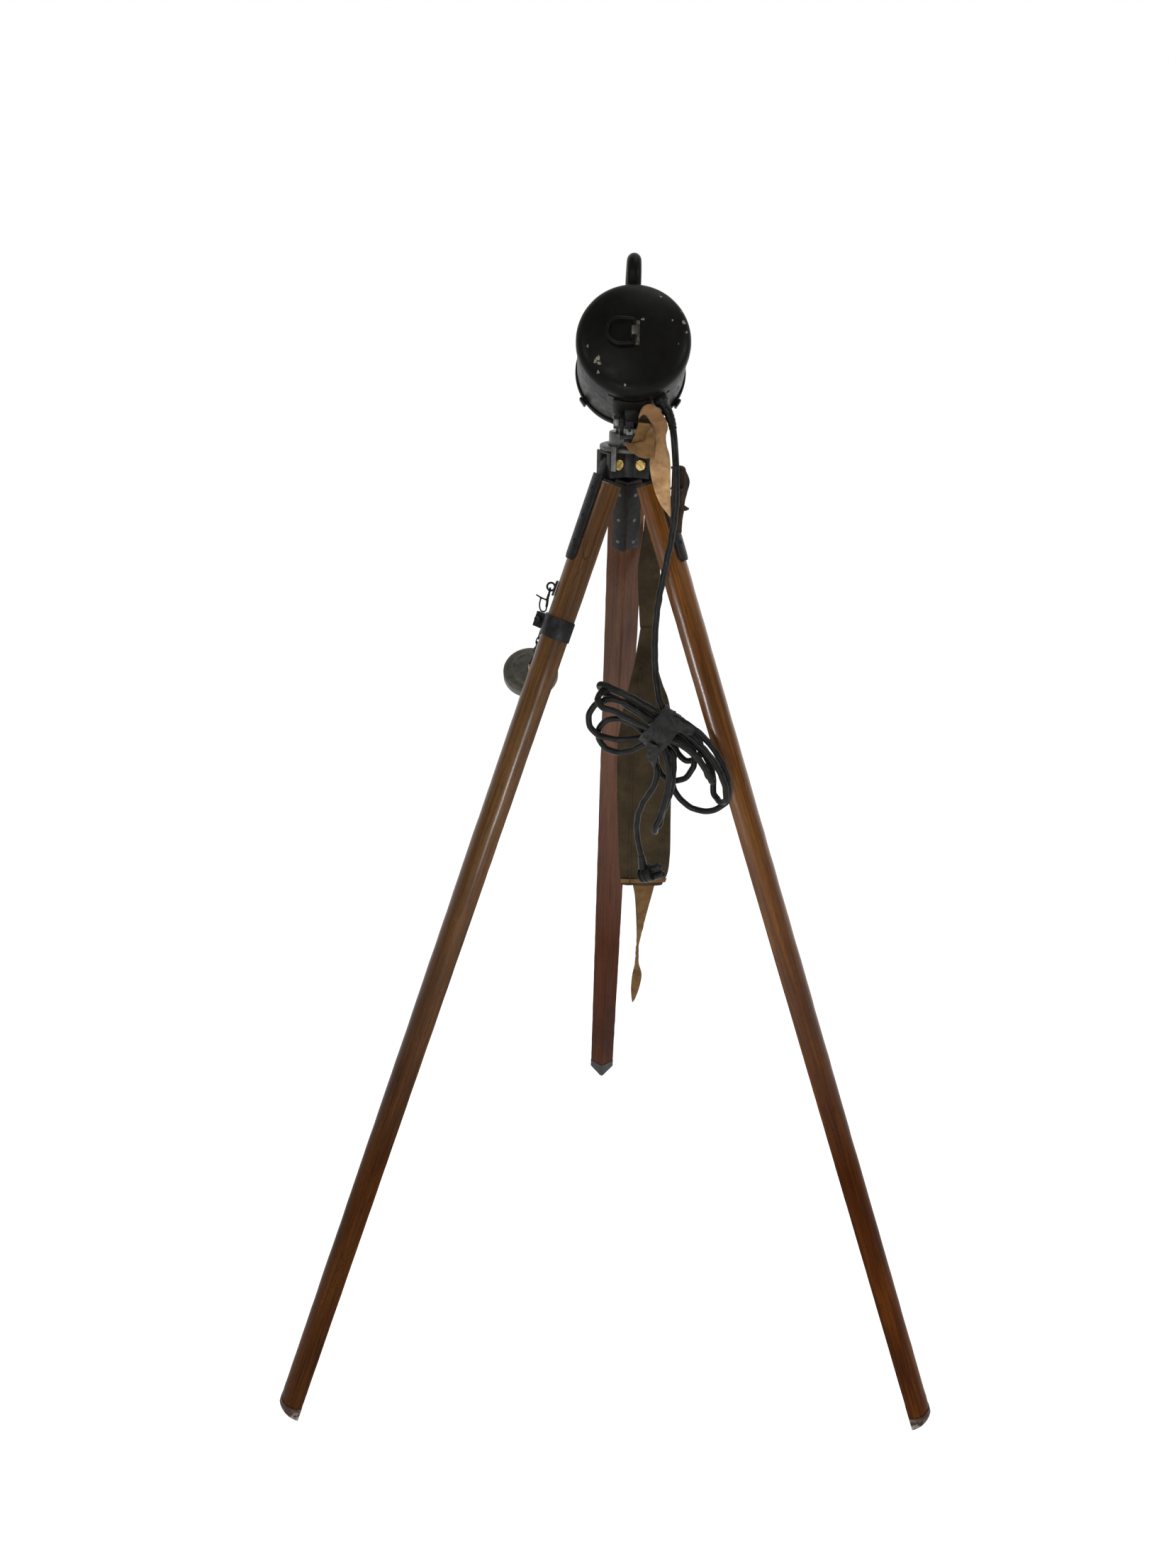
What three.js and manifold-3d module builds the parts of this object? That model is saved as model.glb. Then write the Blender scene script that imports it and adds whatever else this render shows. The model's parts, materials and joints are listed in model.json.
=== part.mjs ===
// Signal lamp on a folding wooden tripod, with a leather sling and a flex tied in a hank.
// Millimetres, +Z up. The beam points to +Y and down; the lamp's back faces -Y.
// Every piece is placed from the tripod's own axis (x = 0, y = 0) and the floor (z = 0);
// the last lines move the whole model so that its box is centred over the origin.

import * as THREE from 'three';
import { mergeVertices } from 'three/addons/utils/BufferGeometryUtils.js';
import Module from 'manifold-3d';

const wasm = await Module();
wasm.setup();

// ---------------------------------------------------------------- driving dimensions
const GAP = 0.3; // clearance between pieces that touch

const LEG_LENGTH = 1385; // hinge axis to the pointed tip
const LEG_SPREAD = 21.3; // degrees from upright, legs fully open
const LEG_RADIUS = 22; // round outer face of a leg
const HINGE_RADIUS = 24; // hinge axis to the tripod's axis
const TIP_WEAR = 1.5; // height worn flat at each tip
const LEG_AZIMUTHS = { left: 210, right: 330, rear: 90 };

const DRUM_RADIUS = 61;
const DRUM_NOSE_DOWN = 30; // degrees below horizontal
const LAMP_AXIS_HEIGHT = 1412.2; // of the drum's axis, over the tripod's axis
const SEAM_Y = -27; // joint between drum and rear cap, along the drum
const FRONT_Y = 47; // front rim of the drum

const CORD_RADIUS = 3.75;

// ---------------------------------------------------------------- derived places
const rad = THREE.MathUtils.degToRad;
const spread = rad(LEG_SPREAD);
const HINGE_HEIGHT = HINGE_RADIUS * Math.sin(spread) + LEG_LENGTH * Math.cos(spread) - TIP_WEAR;
const ARC_X = -10.8; // centre of a leg's round face, from its hinge axis
const APEX_X = ARC_X - LEG_RADIUS / Math.tan(rad(60)); // inner edge of the leg
const WOOD_TOP = -22.8;
const SHOE_HEIGHT = 40;
const WOOD_BOTTOM = -(LEG_LENGTH - SHOE_HEIGHT);
const PLATE_BOTTOM = -118; // lower end of the steel straps
const BLOCK_BOTTOM = HINGE_HEIGHT - 15;
const BLOCK_TOP = HINGE_HEIGHT + 13;
const SOCKET_TOP = BLOCK_TOP + 19.5;
const TILT_AXIS = { y: -34, z: HINGE_HEIGHT + 47.5 };

// ---------------------------------------------------------------- materials
const paint = new THREE.MeshStandardMaterial({ color: 0x1b1c1a, roughness: 0.45, metalness: 0.3 });
const blackSteel = new THREE.MeshStandardMaterial({ color: 0x26282a, roughness: 0.5, metalness: 0.6 });
const greySteel = new THREE.MeshStandardMaterial({ color: 0x6c6f70, roughness: 0.45, metalness: 0.8 });
const brightSteel = new THREE.MeshStandardMaterial({ color: 0xb9bab6, roughness: 0.3, metalness: 0.9 });
const brass = new THREE.MeshStandardMaterial({ color: 0xb58f3f, roughness: 0.35, metalness: 0.9 });
const darkWood = new THREE.MeshStandardMaterial({ color: 0x6a4524, roughness: 0.35 });
const amberWood = new THREE.MeshStandardMaterial({ color: 0x9a5f24, roughness: 0.3 });
const redWood = new THREE.MeshStandardMaterial({ color: 0x7c4428, roughness: 0.35 });
const tanLeather = new THREE.MeshStandardMaterial({ color: 0xb08a5e, roughness: 0.85 });
const darkLeather = new THREE.MeshStandardMaterial({ color: 0x4a3020, roughness: 0.7 });
const oliveLeather = new THREE.MeshStandardMaterial({ color: 0x77603a, roughness: 0.8 });
const olivePaint = new THREE.MeshStandardMaterial({ color: 0x4a4532, roughness: 0.5, metalness: 0.4 });
const rubber = new THREE.MeshStandardMaterial({ color: 0x1c1c1b, roughness: 0.5 });
const clearGlass = new THREE.MeshStandardMaterial({ color: 0xdfe8ea, roughness: 0.05 });
const silvered = new THREE.MeshStandardMaterial({ color: 0xd8d8d4, roughness: 0.1, metalness: 1 });

// ---------------------------------------------------------------- geometry helpers
function closed(geometry) {
  geometry.deleteAttribute('normal');
  geometry.deleteAttribute('uv');
  const merged = mergeVertices(geometry, 1e-4);
  const place = merged.attributes.position;
  const corner = [new THREE.Vector3(), new THREE.Vector3(), new THREE.Vector3()];
  const kept = [];
  let volume = 0;
  for (let i = 0; i < merged.index.count; i += 3) {
    const triangle = [0, 1, 2].map((k) => merged.index.getX(i + k));
    if (new Set(triangle).size < 3) continue;
    triangle.forEach((vertex, k) => corner[k].fromBufferAttribute(place, vertex));
    volume += corner[0].dot(corner[1].clone().cross(corner[2]));
    kept.push(triangle);
  }
  if (volume < 0) kept.forEach((triangle) => triangle.reverse());
  merged.setIndex(kept.flat());
  return merged;
}

function toSolid(geometry) {
  const body = closed(geometry.clone());
  const vertProperties = new Float32Array(body.attributes.position.array);
  const triVerts = new Uint32Array(body.index.array);
  return new wasm.Manifold(new wasm.Mesh({ numProp: 3, vertProperties, triVerts }));
}

function toGeometry(solid) {
  const mesh = solid.getMesh();
  const geometry = new THREE.BufferGeometry();
  geometry.setAttribute('position', new THREE.BufferAttribute(new Float32Array(mesh.vertProperties), 3));
  geometry.setIndex(new THREE.BufferAttribute(new Uint32Array(mesh.triVerts), 1));
  return geometry;
}

const join = (first, ...others) => toGeometry(others.reduce((all, g) => all.add(toSolid(g)), toSolid(first)));
const cut = (body, ...tools) => toGeometry(tools.reduce((all, g) => all.subtract(toSolid(g)), toSolid(body)));
const common = (first, second) => toGeometry(toSolid(first).intersect(toSolid(second)));

// A box given by its lowest and highest corner.
function block([x0, y0, z0], [x1, y1, z1]) {
  const box = new THREE.BoxGeometry(x1 - x0, y1 - y0, z1 - z0);
  return box.translate((x0 + x1) / 2, (y0 + y1) / 2, (z0 + z1) / 2);
}

// A solid of revolution about Y from (radius, y) points.
function turned(profile, segments = 40) {
  return closed(new THREE.LatheGeometry(profile.map(([r, y]) => new THREE.Vector2(r, y)), segments));
}

const turnedUpright = (profile, segments = 40) => turned(profile, segments).rotateX(Math.PI / 2);
const rodUpright = (r, z0, z1, segments = 24) =>
  turnedUpright([[0, z0], [r, z0], [r, z1], [0, z1]], segments);
const rodAlongY = (r, y0, y1, segments = 24) => turned([[0, y0], [r, y0], [r, y1], [0, y1]], segments);
const rodAlongX = (r, x0, x1, segments = 24) => rodAlongY(r, -x1, -x0, segments).rotateZ(Math.PI / 2);

// A hollow ring about Y between two radii.
const ringAlongY = (inner, outer, y0, y1, segments = 40) =>
  turned([[inner, y0], [outer, y0], [outer, y1], [inner, y1], [inner, y0]], segments);
const ringUpright = (inner, outer, z0, z1, segments = 40) =>
  ringAlongY(inner, outer, z0, z1, segments).rotateX(Math.PI / 2);

// An outline in XY, pushed up from z0 to z1.
function prism(shape, z0, z1, curveSegments = 12) {
  const solid = new THREE.ExtrudeGeometry(shape, { depth: z1 - z0, bevelEnabled: false, curveSegments });
  return solid.translate(0, 0, z0);
}

// An outline in XZ, pushed along Y from y0 to y1.
const slabXZ = (points, y0, y1) =>
  prism(new THREE.Shape(points.map(([x, z]) => new THREE.Vector2(x, -z))), y0, y1).rotateX(-Math.PI / 2);

// An outline in YZ, pushed along X from x0 to x1.
const slabYZ = (points, x0, x1) =>
  prism(new THREE.Shape(points.map(([y, z]) => new THREE.Vector2(-z, y))), x0, x1).rotateY(Math.PI / 2);

function tube(points, radius, sides, steps) {
  const corner = (k) => (2 * Math.PI * k) / sides;
  const ring = Array.from({ length: sides }, (_, k) =>
    new THREE.Vector2(radius * Math.cos(corner(k)), radius * Math.sin(corner(k))));
  const extrudePath = new THREE.CatmullRomCurve3(points.map((p) => new THREE.Vector3(...p)));
  return new THREE.ExtrudeGeometry(new THREE.Shape(ring), { steps, extrudePath, bevelEnabled: false });
}

// A band of even thickness that follows a line of (y, z) points, for straps that hang.
function bandYZ(line, thickness, x0, x1, steps = 24) {
  const curve = new THREE.SplineCurve(line.map((p) => new THREE.Vector2(...p)));
  const along = Array.from({ length: steps + 1 }, (_, k) => k / steps);
  const side = (t, sign) => {
    const normal = curve.getTangent(t);
    const point = curve.getPoint(t);
    return [point.x - sign * normal.y * thickness / 2, point.y + sign * normal.x * thickness / 2];
  };
  const front = along.map((t) => side(t, 1));
  const back = along.map((t) => side(t, -1)).reverse();
  return slabYZ([...front, ...back], x0, x1);
}

const model = new THREE.Group();

function add(parent, name, geometry, material) {
  const mesh = new THREE.Mesh(closed(geometry), material);
  mesh.name = name;
  parent.add(mesh);
  return mesh;
}

// ---------------------------------------------------------------- tripod head
// Three slotted lugs carry the legs' tongues; the upright socket takes the lamp's spigot.
function makeHead() {
  const LUG_REACH = 34;
  const LUG_HALF_WIDTH = 15;
  const SLOT_HALF_WIDTH = 7.5;
  const SLOT_START = 11.5;
  const turn = (geometry, azimuth) => geometry.rotateZ(rad(azimuth));
  const azimuths = Object.values(LEG_AZIMUTHS);

  const lugs = azimuths.map((azimuth) =>
    turn(block([0, -LUG_HALF_WIDTH, BLOCK_BOTTOM], [LUG_REACH, LUG_HALF_WIDTH, BLOCK_TOP]), azimuth));
  const slots = azimuths.map((azimuth) =>
    turn(block([SLOT_START, -SLOT_HALF_WIDTH, BLOCK_BOTTOM - 1], [60, SLOT_HALF_WIDTH, HINGE_HEIGHT + 10.5]),
      azimuth));
  const holes = azimuths.map((azimuth) =>
    turn(rodAlongY(4.3, -30, 30).translate(HINGE_RADIUS, 0, HINGE_HEIGHT), azimuth));
  const core = rodUpright(21, BLOCK_BOTTOM, BLOCK_TOP, 36);
  add(model, 'head_block', cut(join(core, ...lugs), ...slots, ...holes), blackSteel);

  for (const [side, azimuth] of Object.entries(LEG_AZIMUTHS)) {
    const bolt = turned([[0, -18.6], [6.2, -18.6], [6.2, -15.3], [4, -15.3], [4, 15.3], [6.2, 15.3],
      [6.2, 18.6], [0, 18.6]], 24).translate(HINGE_RADIUS, 0, HINGE_HEIGHT);
    add(model, `hinge_bolt_${side}`, turn(bolt, azimuth), brass);
  }

  add(model, 'head_socket', ringUpright(11.5, 23.5, BLOCK_TOP + GAP, SOCKET_TOP), greySteel);
  const ringTop = BLOCK_TOP + 5;
  add(model, 'clamp_ring', ringUpright(24, 34, BLOCK_TOP + GAP, ringTop), olivePaint);
  const leverAngle = 243;
  const tab = block([29, -3, ringTop + GAP], [41, 3, ringTop + 3]);
  const bar = block([38, -3, HINGE_HEIGHT - 6], [41, 3, ringTop + 3]);
  add(model, 'lock_lever', turn(join(tab, bar), leverAngle), greySteel);
}

// ---------------------------------------------------------------- legs
// A leg's section: a half round outside, and two faces at 120 degrees inside, so that three
// legs close into one staff. `radius` is the round face, `inset` moves the two inner faces in.
function legSection(radius, inset) {
  const corner = LEG_RADIUS - 2 * inset;
  const shape = new THREE.Shape();
  shape.moveTo(APEX_X + inset / Math.sin(rad(60)), 0);
  shape.lineTo(ARC_X, -corner);
  shape.lineTo(ARC_X, -radius);
  shape.absarc(ARC_X, 0, radius, -Math.PI / 2, Math.PI / 2, false);
  shape.lineTo(ARC_X, corner);
  return shape;
}

// The angle plate let into the two inner faces: `reach` along each face, `depth` into the wood,
// and `proud` of the faces.
function innerPlate(reach, depth, proud = 0) {
  const sin60 = Math.sin(rad(60));
  const face = (s, d, sign) => [APEX_X + s * 0.5 + d * sin60, sign * (s * sin60 - d * 0.5)];
  const points = [[APEX_X - proud / sin60, 0], face(reach, -proud, -1), face(reach, depth, -1),
    [APEX_X + depth / sin60, 0], face(reach, depth, 1), face(reach, -proud, 1)];
  return new THREE.Shape(points.map(([x, y]) => new THREE.Vector2(x, y)));
}

// A sector of a ring round the leg's outer face, for the strap and the collar's lug.
function outerSector(inner, outer, fromDegrees, toDegrees) {
  const shape = new THREE.Shape();
  shape.absarc(ARC_X, 0, outer, rad(fromDegrees), rad(toDegrees), false);
  shape.absarc(ARC_X, 0, inner, rad(toDegrees), rad(fromDegrees), true);
  return shape;
}

function makeLeg(side, wood) {
  const around = new THREE.Group();
  around.rotation.z = rad(LEG_AZIMUTHS[side]);
  const leg = new THREE.Group(); // origin on the hinge axis, -Z along the leg, +X outward
  leg.position.set(HINGE_RADIUS, 0, HINGE_HEIGHT);
  leg.rotation.y = -spread;
  around.add(leg);
  model.add(around);

  const plateDepth = 2.5;
  let timber = cut(prism(legSection(LEG_RADIUS, 0), WOOD_BOTTOM, WOOD_TOP),
    prism(innerPlate(22 + GAP, plateDepth + GAP, 5), PLATE_BOTTOM - GAP, 0));
  if (side === 'left') {
    const band = cut(prism(legSection(40, -10), COLLAR.bottom - GAP, COLLAR.top + GAP),
      prism(legSection(LEG_RADIUS - 2.5, 2.5), COLLAR.bottom - 5, COLLAR.top + 5));
    timber = cut(timber, band);
  }
  add(leg, `leg_${side}`, timber, wood);

  const tongue = join(rodAlongY(9.5, -7, 7), block([-9.5, -7, -21.5], [9.5, 7, 0]),
    prism(legSection(LEG_RADIUS - 0.5, 0.5), WOOD_TOP + GAP, -19.5));
  add(leg, `leg_${side}_tongue`, cut(tongue, rodAlongY(4.4, -10, 10)), blackSteel);
  add(leg, `leg_${side}_inner_strap`, prism(innerPlate(22, plateDepth), PLATE_BOTTOM, WOOD_TOP), blackSteel);

  const strap = prism(outerSector(LEG_RADIUS + GAP, LEG_RADIUS + 3, -26, 26), PLATE_BOTTOM, -16.5);
  const point = slabYZ([[-14, PLATE_BOTTOM - 1], [14, PLATE_BOTTOM - 1], [14, PLATE_BOTTOM + 16],
    [0, PLATE_BOTTOM], [-14, PLATE_BOTTOM + 16]], -30, 30);
  add(leg, `leg_${side}_outer_strap`, cut(strap, point), blackSteel);

  // The shoe runs on from the wood and closes to a point on the inner edge.
  const nose = turnedUpright([[0, -LEG_LENGTH], [2.5, -LEG_LENGTH], [9, 6 - LEG_LENGTH], [20, 15 - LEG_LENGTH],
    [29, 23 - LEG_LENGTH], [33.5, 29 - LEG_LENGTH], [36, 36 - LEG_LENGTH], [40, 60 - LEG_LENGTH],
    [0, 60 - LEG_LENGTH]], 48).translate(APEX_X, 0, 0);
  const shoe = common(prism(legSection(LEG_RADIUS, 0), -LEG_LENGTH, WOOD_BOTTOM - GAP, 20), nose);
  const floor = block([-600, -100, -HINGE_HEIGHT - 60], [900, 100, -HINGE_HEIGHT]).rotateY(spread);
  add(leg, `leg_${side}_shoe`, cut(shoe, floor), blackSteel);
  return leg;
}

// ---------------------------------------------------------------- what hangs on the left leg
const COLLAR = { top: -186, bottom: -210, lugAngle: -60 };

function makeLeftLegFittings(leg) {
  const { top, bottom, lugAngle } = COLLAR;
  const band = cut(prism(legSection(LEG_RADIUS + 2, 0), bottom, top),
    prism(legSection(LEG_RADIUS - 2.5 + GAP, 2.5 - GAP), bottom - 5, top + 5));
  const lug = block([20, -6, bottom + 3], [36, 6, top - 3]).rotateZ(rad(lugAngle)).translate(ARC_X, 0, 0);
  const well = prism(legSection(LEG_RADIUS - 2.5 + GAP, 2.5 - GAP), bottom - 5, top + 5);
  const hole = rodAlongY(2.9, -20, 20).translate(31, 0, (top + bottom) / 2).rotateZ(rad(lugAngle))
    .translate(ARC_X, 0, 0);
  add(leg, 'leg_collar', cut(join(band, lug), well, hole), blackSteel);

  const bolt = turned([[0, -11], [4.2, -11], [4.2, -6.3], [2.6, -6.3], [2.6, 6.3], [4.2, 6.3], [4.2, 9],
    [0, 9]], 16).translate(31, 0, (top + bottom) / 2).rotateZ(rad(lugAngle)).translate(ARC_X, 0, 0);
  add(leg, 'collar_bolt', bolt, greySteel);

  // Staple on the leg above the collar, and the snap hook that hangs from it.
  const stapleZ = -156;
  const stapleAngle = -38;
  const onLeg = (geometry) => geometry.rotateZ(rad(stapleAngle)).translate(ARC_X, 0, 0);
  const plate = block([LEG_RADIUS + GAP, -5, stapleZ - 9], [LEG_RADIUS + 2.3, 5, stapleZ + 9]);
  const eye = new THREE.TorusGeometry(4.6, 1.3, 8, 18).rotateX(Math.PI / 2)
    .translate(LEG_RADIUS + 6.4, 0, stapleZ);
  add(leg, 'strap_staple', onLeg(join(plate, eye)), greySteel);

  const hook = new THREE.Group();
  hook.rotation.z = rad(stapleAngle);
  hook.position.x = ARC_X;
  leg.add(hook);
  const drop = new THREE.Group(); // hangs plumb from the staple's eye
  drop.position.set(LEG_RADIUS + 6.4, 0, stapleZ - 4.4);
  drop.rotation.y = spread - rad(14);
  hook.add(drop);
  const ring = new THREE.TorusGeometry(3.4, 1.1, 8, 16).rotateY(Math.PI / 2).translate(0, 0, -0.7);
  const shank = tube([[0, 0, -4], [0.6, 0, -9], [0, 0, -15], [0, 0, -20]], 1.7, 8, 6);
  const tongue = tube([[0, 0, -12], [7, 0, -11], [15, 0, -8.5]], 1, 8, 4);
  const bow = tube([[8.5, 0, -10.5], [8.4, 0, -20], [5, 0, -26], [0, 0, -25], [0, 0, -18]], 1, 8, 12);
  add(drop, 'snap_hook', join(ring, shank, tongue, bow), blackSteel);
}

// The dust cap for the socket hangs on its chain behind the left leg.
function makeDustCap() {
  const top = new THREE.Vector3(-98, -19, HINGE_HEIGHT - 196);
  const centre = new THREE.Vector3(-114, 1, HINGE_HEIGHT - 255);
  const tilt = 35; // degrees that the cap leans back from level
  const cap = new THREE.Group();
  cap.position.copy(centre);
  cap.rotation.x = rad(tilt);
  model.add(cap);
  const dish = turnedUpright([[0, -2], [28, -3], [31.8, -4.5], [31.8, -14], [34.2, -14], [34.2, -3.5],
    [33, -1.4], [30, 0], [24, 0.6], [23, 1.8], [21.4, 1.8], [20.4, 0.8], [0, 1.6]], 40);
  add(cap, 'dust_cap', dish, olivePaint);
  const link = centre.clone().add(new THREE.Vector3(0, -1.2, 2.2));
  const middle = top.clone().lerp(link, 0.5).add(new THREE.Vector3(1, 2, -3));
  add(model, 'cap_chain', tube([top.toArray(), middle.toArray(), link.toArray()], 1.5, 8, 10), blackSteel);
}

// ---------------------------------------------------------------- swivel
// The spigot turns in the head's socket, and its fork carries the lamp's tilt bolt.
function makeSwivel() {
  const { y, z } = TILT_AXIS;
  const base = SOCKET_TOP + GAP;
  const spigot = rodUpright(11.2, BLOCK_TOP + 1.5, base + 2, 28);
  const shoulder = rodUpright(16, base, base + 2.2, 36);
  const arm = block([-13, -59, base], [13, -10, base + 4.5]);
  const screwHole = rodUpright(4.9, base - 5, base + 10).translate(-2, -53, 0);
  const cheeks = [-1, 1].map((side) => {
    const inner = side * 7.4;
    const outer = side * 13;
    const [x0, x1] = [Math.min(inner, outer), Math.max(inner, outer)];
    return join(block([x0, y - 9, base], [x1, y + 9, z]), rodAlongX(9, x0, x1).translate(0, y, z));
  });
  const bore = rodAlongX(4.3, -20, 20).translate(0, y, z);
  add(model, 'swivel_fork', cut(join(spigot, shoulder, arm, ...cheeks), bore, screwHole), blackSteel);

  const bolt = join(rodAlongX(4, -19, 36), rodAlongX(7.4, -19.5, -13.3, 6), rodAlongX(6.4, 13.3, 17),
    rodAlongX(6, 36, 39));
  add(model, 'tilt_bolt', bolt.translate(0, y, z), greySteel);

  const screwFoot = base - 2.6;
  const screw = join(rodUpright(4.5, screwFoot + 2, base + 19), rodUpright(7, screwFoot - 1, base - 0.4, 6));
  add(model, 'clamp_screw', screw.translate(-2, -53, 0), blackSteel);
  const nut = cut(rodUpright(6.6, base + 4.8, base + 11, 6), rodUpright(4.8, base, base + 30));
  add(model, 'clamp_nut', nut.translate(-2, -53, 0), brightSteel);
}

// ---------------------------------------------------------------- lamp
// The lamp's own frame has Y along the beam and Z out of the top of the drum.
const lamp = new THREE.Group();
lamp.position.set(0, 0, LAMP_AXIS_HEIGHT);
lamp.rotation.x = -rad(DRUM_NOSE_DOWN);
model.add(lamp);

// A lamp point at a distance from the drum's axis, `degrees` round from the bottom towards +X.
function roundDrum(radius, degrees, y) {
  return [radius * Math.sin(rad(degrees)), y, -radius * Math.cos(rad(degrees))];
}

function makeDrum() {
  const wall = 1.5;
  const shell = ringAlongY(DRUM_RADIUS - wall, DRUM_RADIUS, -36, FRONT_Y, 56);
  const vent = (degrees, y) => rodUpright(2.6, -DRUM_RADIUS - 8, -DRUM_RADIUS + 8, 12).translate(0, y, 0)
    .rotateY(-rad(degrees));
  const slot = block([-5, -24, -DRUM_RADIUS - 8], [5, -20, -DRUM_RADIUS + 8]).rotateY(rad(17));
  const vents = [vent(-23, -14), vent(40, -13), vent(58, 9), vent(58, 22)];
  add(lamp, 'drum_shell', cut(shell, slot, ...vents), paint);

  const bezel = turned([[DRUM_RADIUS + GAP, 41], [63, 41], [63.4, 45], [62.4, 50.4], [54.5, 50.4],
    [54.5, 49], [60, 49], [60, FRONT_Y + GAP], [DRUM_RADIUS + GAP, FRONT_Y + GAP],
    [DRUM_RADIUS + GAP, 41]], 56);
  add(lamp, 'front_bezel', bezel, paint);
  const lensBack = FRONT_Y - 2;
  add(lamp, 'lens', turned([[0, lensBack], [58.8, lensBack], [58.8, 48.6], [40, 49.8], [20, 51.5],
    [0, 52.2]], 48), clearGlass);

  for (const [side, degrees] of [['left', -56], ['right', 56]]) {
    const clip = block([-5, 40, -66.8], [5, 47.5, -63.8]).rotateY(-rad(degrees));
    add(lamp, `bezel_clip_${side}`, clip, blackSteel);
  }

  // A parabola of focal length 20 mm, open at the neck for the bulb.
  const depthAt = (r) => (r * r) / 80 - 2;
  const radii = [14, 22, 30, 38, 46, 52, 57];
  const front = radii.map((r) => [r, depthAt(r)]);
  const back = [...radii].reverse().map((r) => [r + 0.6, depthAt(r) - 1.3]);
  add(lamp, 'reflector', turned([...back.reverse(), ...front.reverse(), [14.6, depthAt(14) - 1.3]], 40), silvered);

  const glassBulb = turned([[0, -1], [8, -1], [9, 4], [15, 14], [17, 22], [15, 30], [9, 36.5], [0, 39]], 28);
  add(lamp, 'bulb', glassBulb, clearGlass);
  const holder = join(rodAlongY(12, -26, -1.4, 28), block([-DRUM_RADIUS + 2, -25, -6], [DRUM_RADIUS - 2, -22, 6]));
  const drumInside = rodAlongY(DRUM_RADIUS - wall - GAP, -40, 40, 56);
  add(lamp, 'lamp_holder', common(holder, drumInside), blackSteel);
}

function makeRearCap() {
  const cap = turned([[DRUM_RADIUS + GAP, SEAM_Y - GAP], [DRUM_RADIUS + GAP, -36.5], [58, -41.5], [52, -44],
    [30, -48.5], [0, -50.5], [0, -52], [30, -50], [52, -45.6], [57, -43.6], [60.6, -40.4], [62.3, -36],
    [62.3, SEAM_Y - GAP], [DRUM_RADIUS + GAP, SEAM_Y - GAP]].reverse(), 56);
  add(lamp, 'rear_cap', cap, paint);

  const RING_Y = -57.8;
  // A lug across the middle of the cap holds the straight side of the D-shaped pull ring.
  const lugPlate = block([0.8, -55, -13], [6, -52.4, 13]);
  const knuckle = cut(block([-3.4, RING_Y - 3.4, -5], [3.4, -52.4, 5]),
    rodUpright(2.5, -20, 20).translate(0, RING_Y, 0));
  add(lamp, 'ring_lug', join(lugPlate, knuckle), greySteel);
  const outline = (grow) => {
    const shape = new THREE.Shape();
    shape.moveTo(2 + grow - 0.2, 12 + grow);
    shape.lineTo(-14, 12 + grow + 4);
    shape.absarc(-15, 0, 16 + grow, Math.PI / 2, (3 * Math.PI) / 2, false);
    shape.lineTo(2 + grow - 0.2, -12 - grow);
    return shape;
  };
  const plateRing = outline(0);
  plateRing.holes.push(outline(-4));
  const ring = prism(plateRing, -2, 2, 14).rotateX(Math.PI / 2).translate(0, RING_Y, 0);
  const bar = rodUpright(2.1, -12, 12, 12).translate(0, RING_Y, 0);
  const clear = block([-3.8, RING_Y - 4, -5.4], [9, -50, 5.4]);
  add(lamp, 'pull_ring', join(cut(ring, clear), bar), blackSteel);
}

function makeHandle() {
  const top = 101;
  const line = [[0, -30, 54], [0, -30, 70], [0, -29, 84], [0, -24, 95], [0, -13, 100.6], [0, 0, top],
    [0, 13, 100.6], [0, 24, 95], [0, 29, 84], [0, 30, 70], [0, 30, 54]];
  const feet = [-30, 30].map((y) => turnedUpright([[0, 54], [10.6, 54], [10.6, 62.5], [8.6, 68], [0, 68]], 20)
    .translate(0, y, 0));
  // The rear foot stands clear of the cap's lip, so that the cap pulls straight off.
  feet[0].translate(0, 15, 0);
  const bow = tube(line.map(([x, y, z]) => [x, y < -14 ? y + 15 * (1 - (z - 54) / 60) : y, z]), 8, 12, 30);
  const drum = rodAlongY(DRUM_RADIUS + GAP, -80, 80, 72);
  add(lamp, 'carry_handle', cut(join(bow, ...feet), drum), paint);
}

function makeSaddle() {
  // The tongue reaches down to the tilt bolt, whose place in the lamp's frame is worked out here.
  const pivot = new THREE.Vector3(0, TILT_AXIS.y, TILT_AXIS.z - LAMP_AXIS_HEIGHT)
    .applyAxisAngle(new THREE.Vector3(1, 0, 0), rad(DRUM_NOSE_DOWN));
  const sector = (inner, outer, half) => {
    const shape = new THREE.Shape();
    shape.absarc(0, 0, outer, rad(-90 - half), rad(-90 + half), false);
    shape.absarc(0, 0, inner, rad(-90 + half), rad(-90 - half), true);
    return prism(shape, -30, 20, 16).rotateX(Math.PI / 2);
  };
  const plate = sector(DRUM_RADIUS + GAP, DRUM_RADIUS + 3, 19);
  const tongue = block([-6.9, pivot.y - 7.5, pivot.z], [6.9, pivot.y + 7.5, -DRUM_RADIUS - 1]);
  const eye = rodAlongX(7.5, -6.9, 6.9).translate(0, pivot.y, pivot.z);
  const bore = rodAlongX(4.3, -20, 20).translate(0, pivot.y, pivot.z);
  add(lamp, 'saddle_bracket', cut(join(plate, tongue, eye), bore), blackSteel);

  const gland = turnedUpright([[0, -75], [5, -75], [6.2, -68], [8.4, -66], [8.4, -61.4], [0, -61.4]], 20)
    .translate(0, -10, 0).rotateY(-rad(30));
  const drum = rodAlongY(DRUM_RADIUS + GAP, -80, 80, 72);
  add(lamp, 'cord_gland', cut(gland, drum), blackSteel);
}

// ---------------------------------------------------------------- flex
// Where the flex leaves the gland, the gland's end face in the lamp's frame, and its direction.
const glandFace = new THREE.Vector3(...roundDrum(75 + GAP, 30, -10));
lamp.updateMatrixWorld(true);
const glandWorld = glandFace.clone().applyMatrix4(lamp.matrixWorld);

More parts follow.
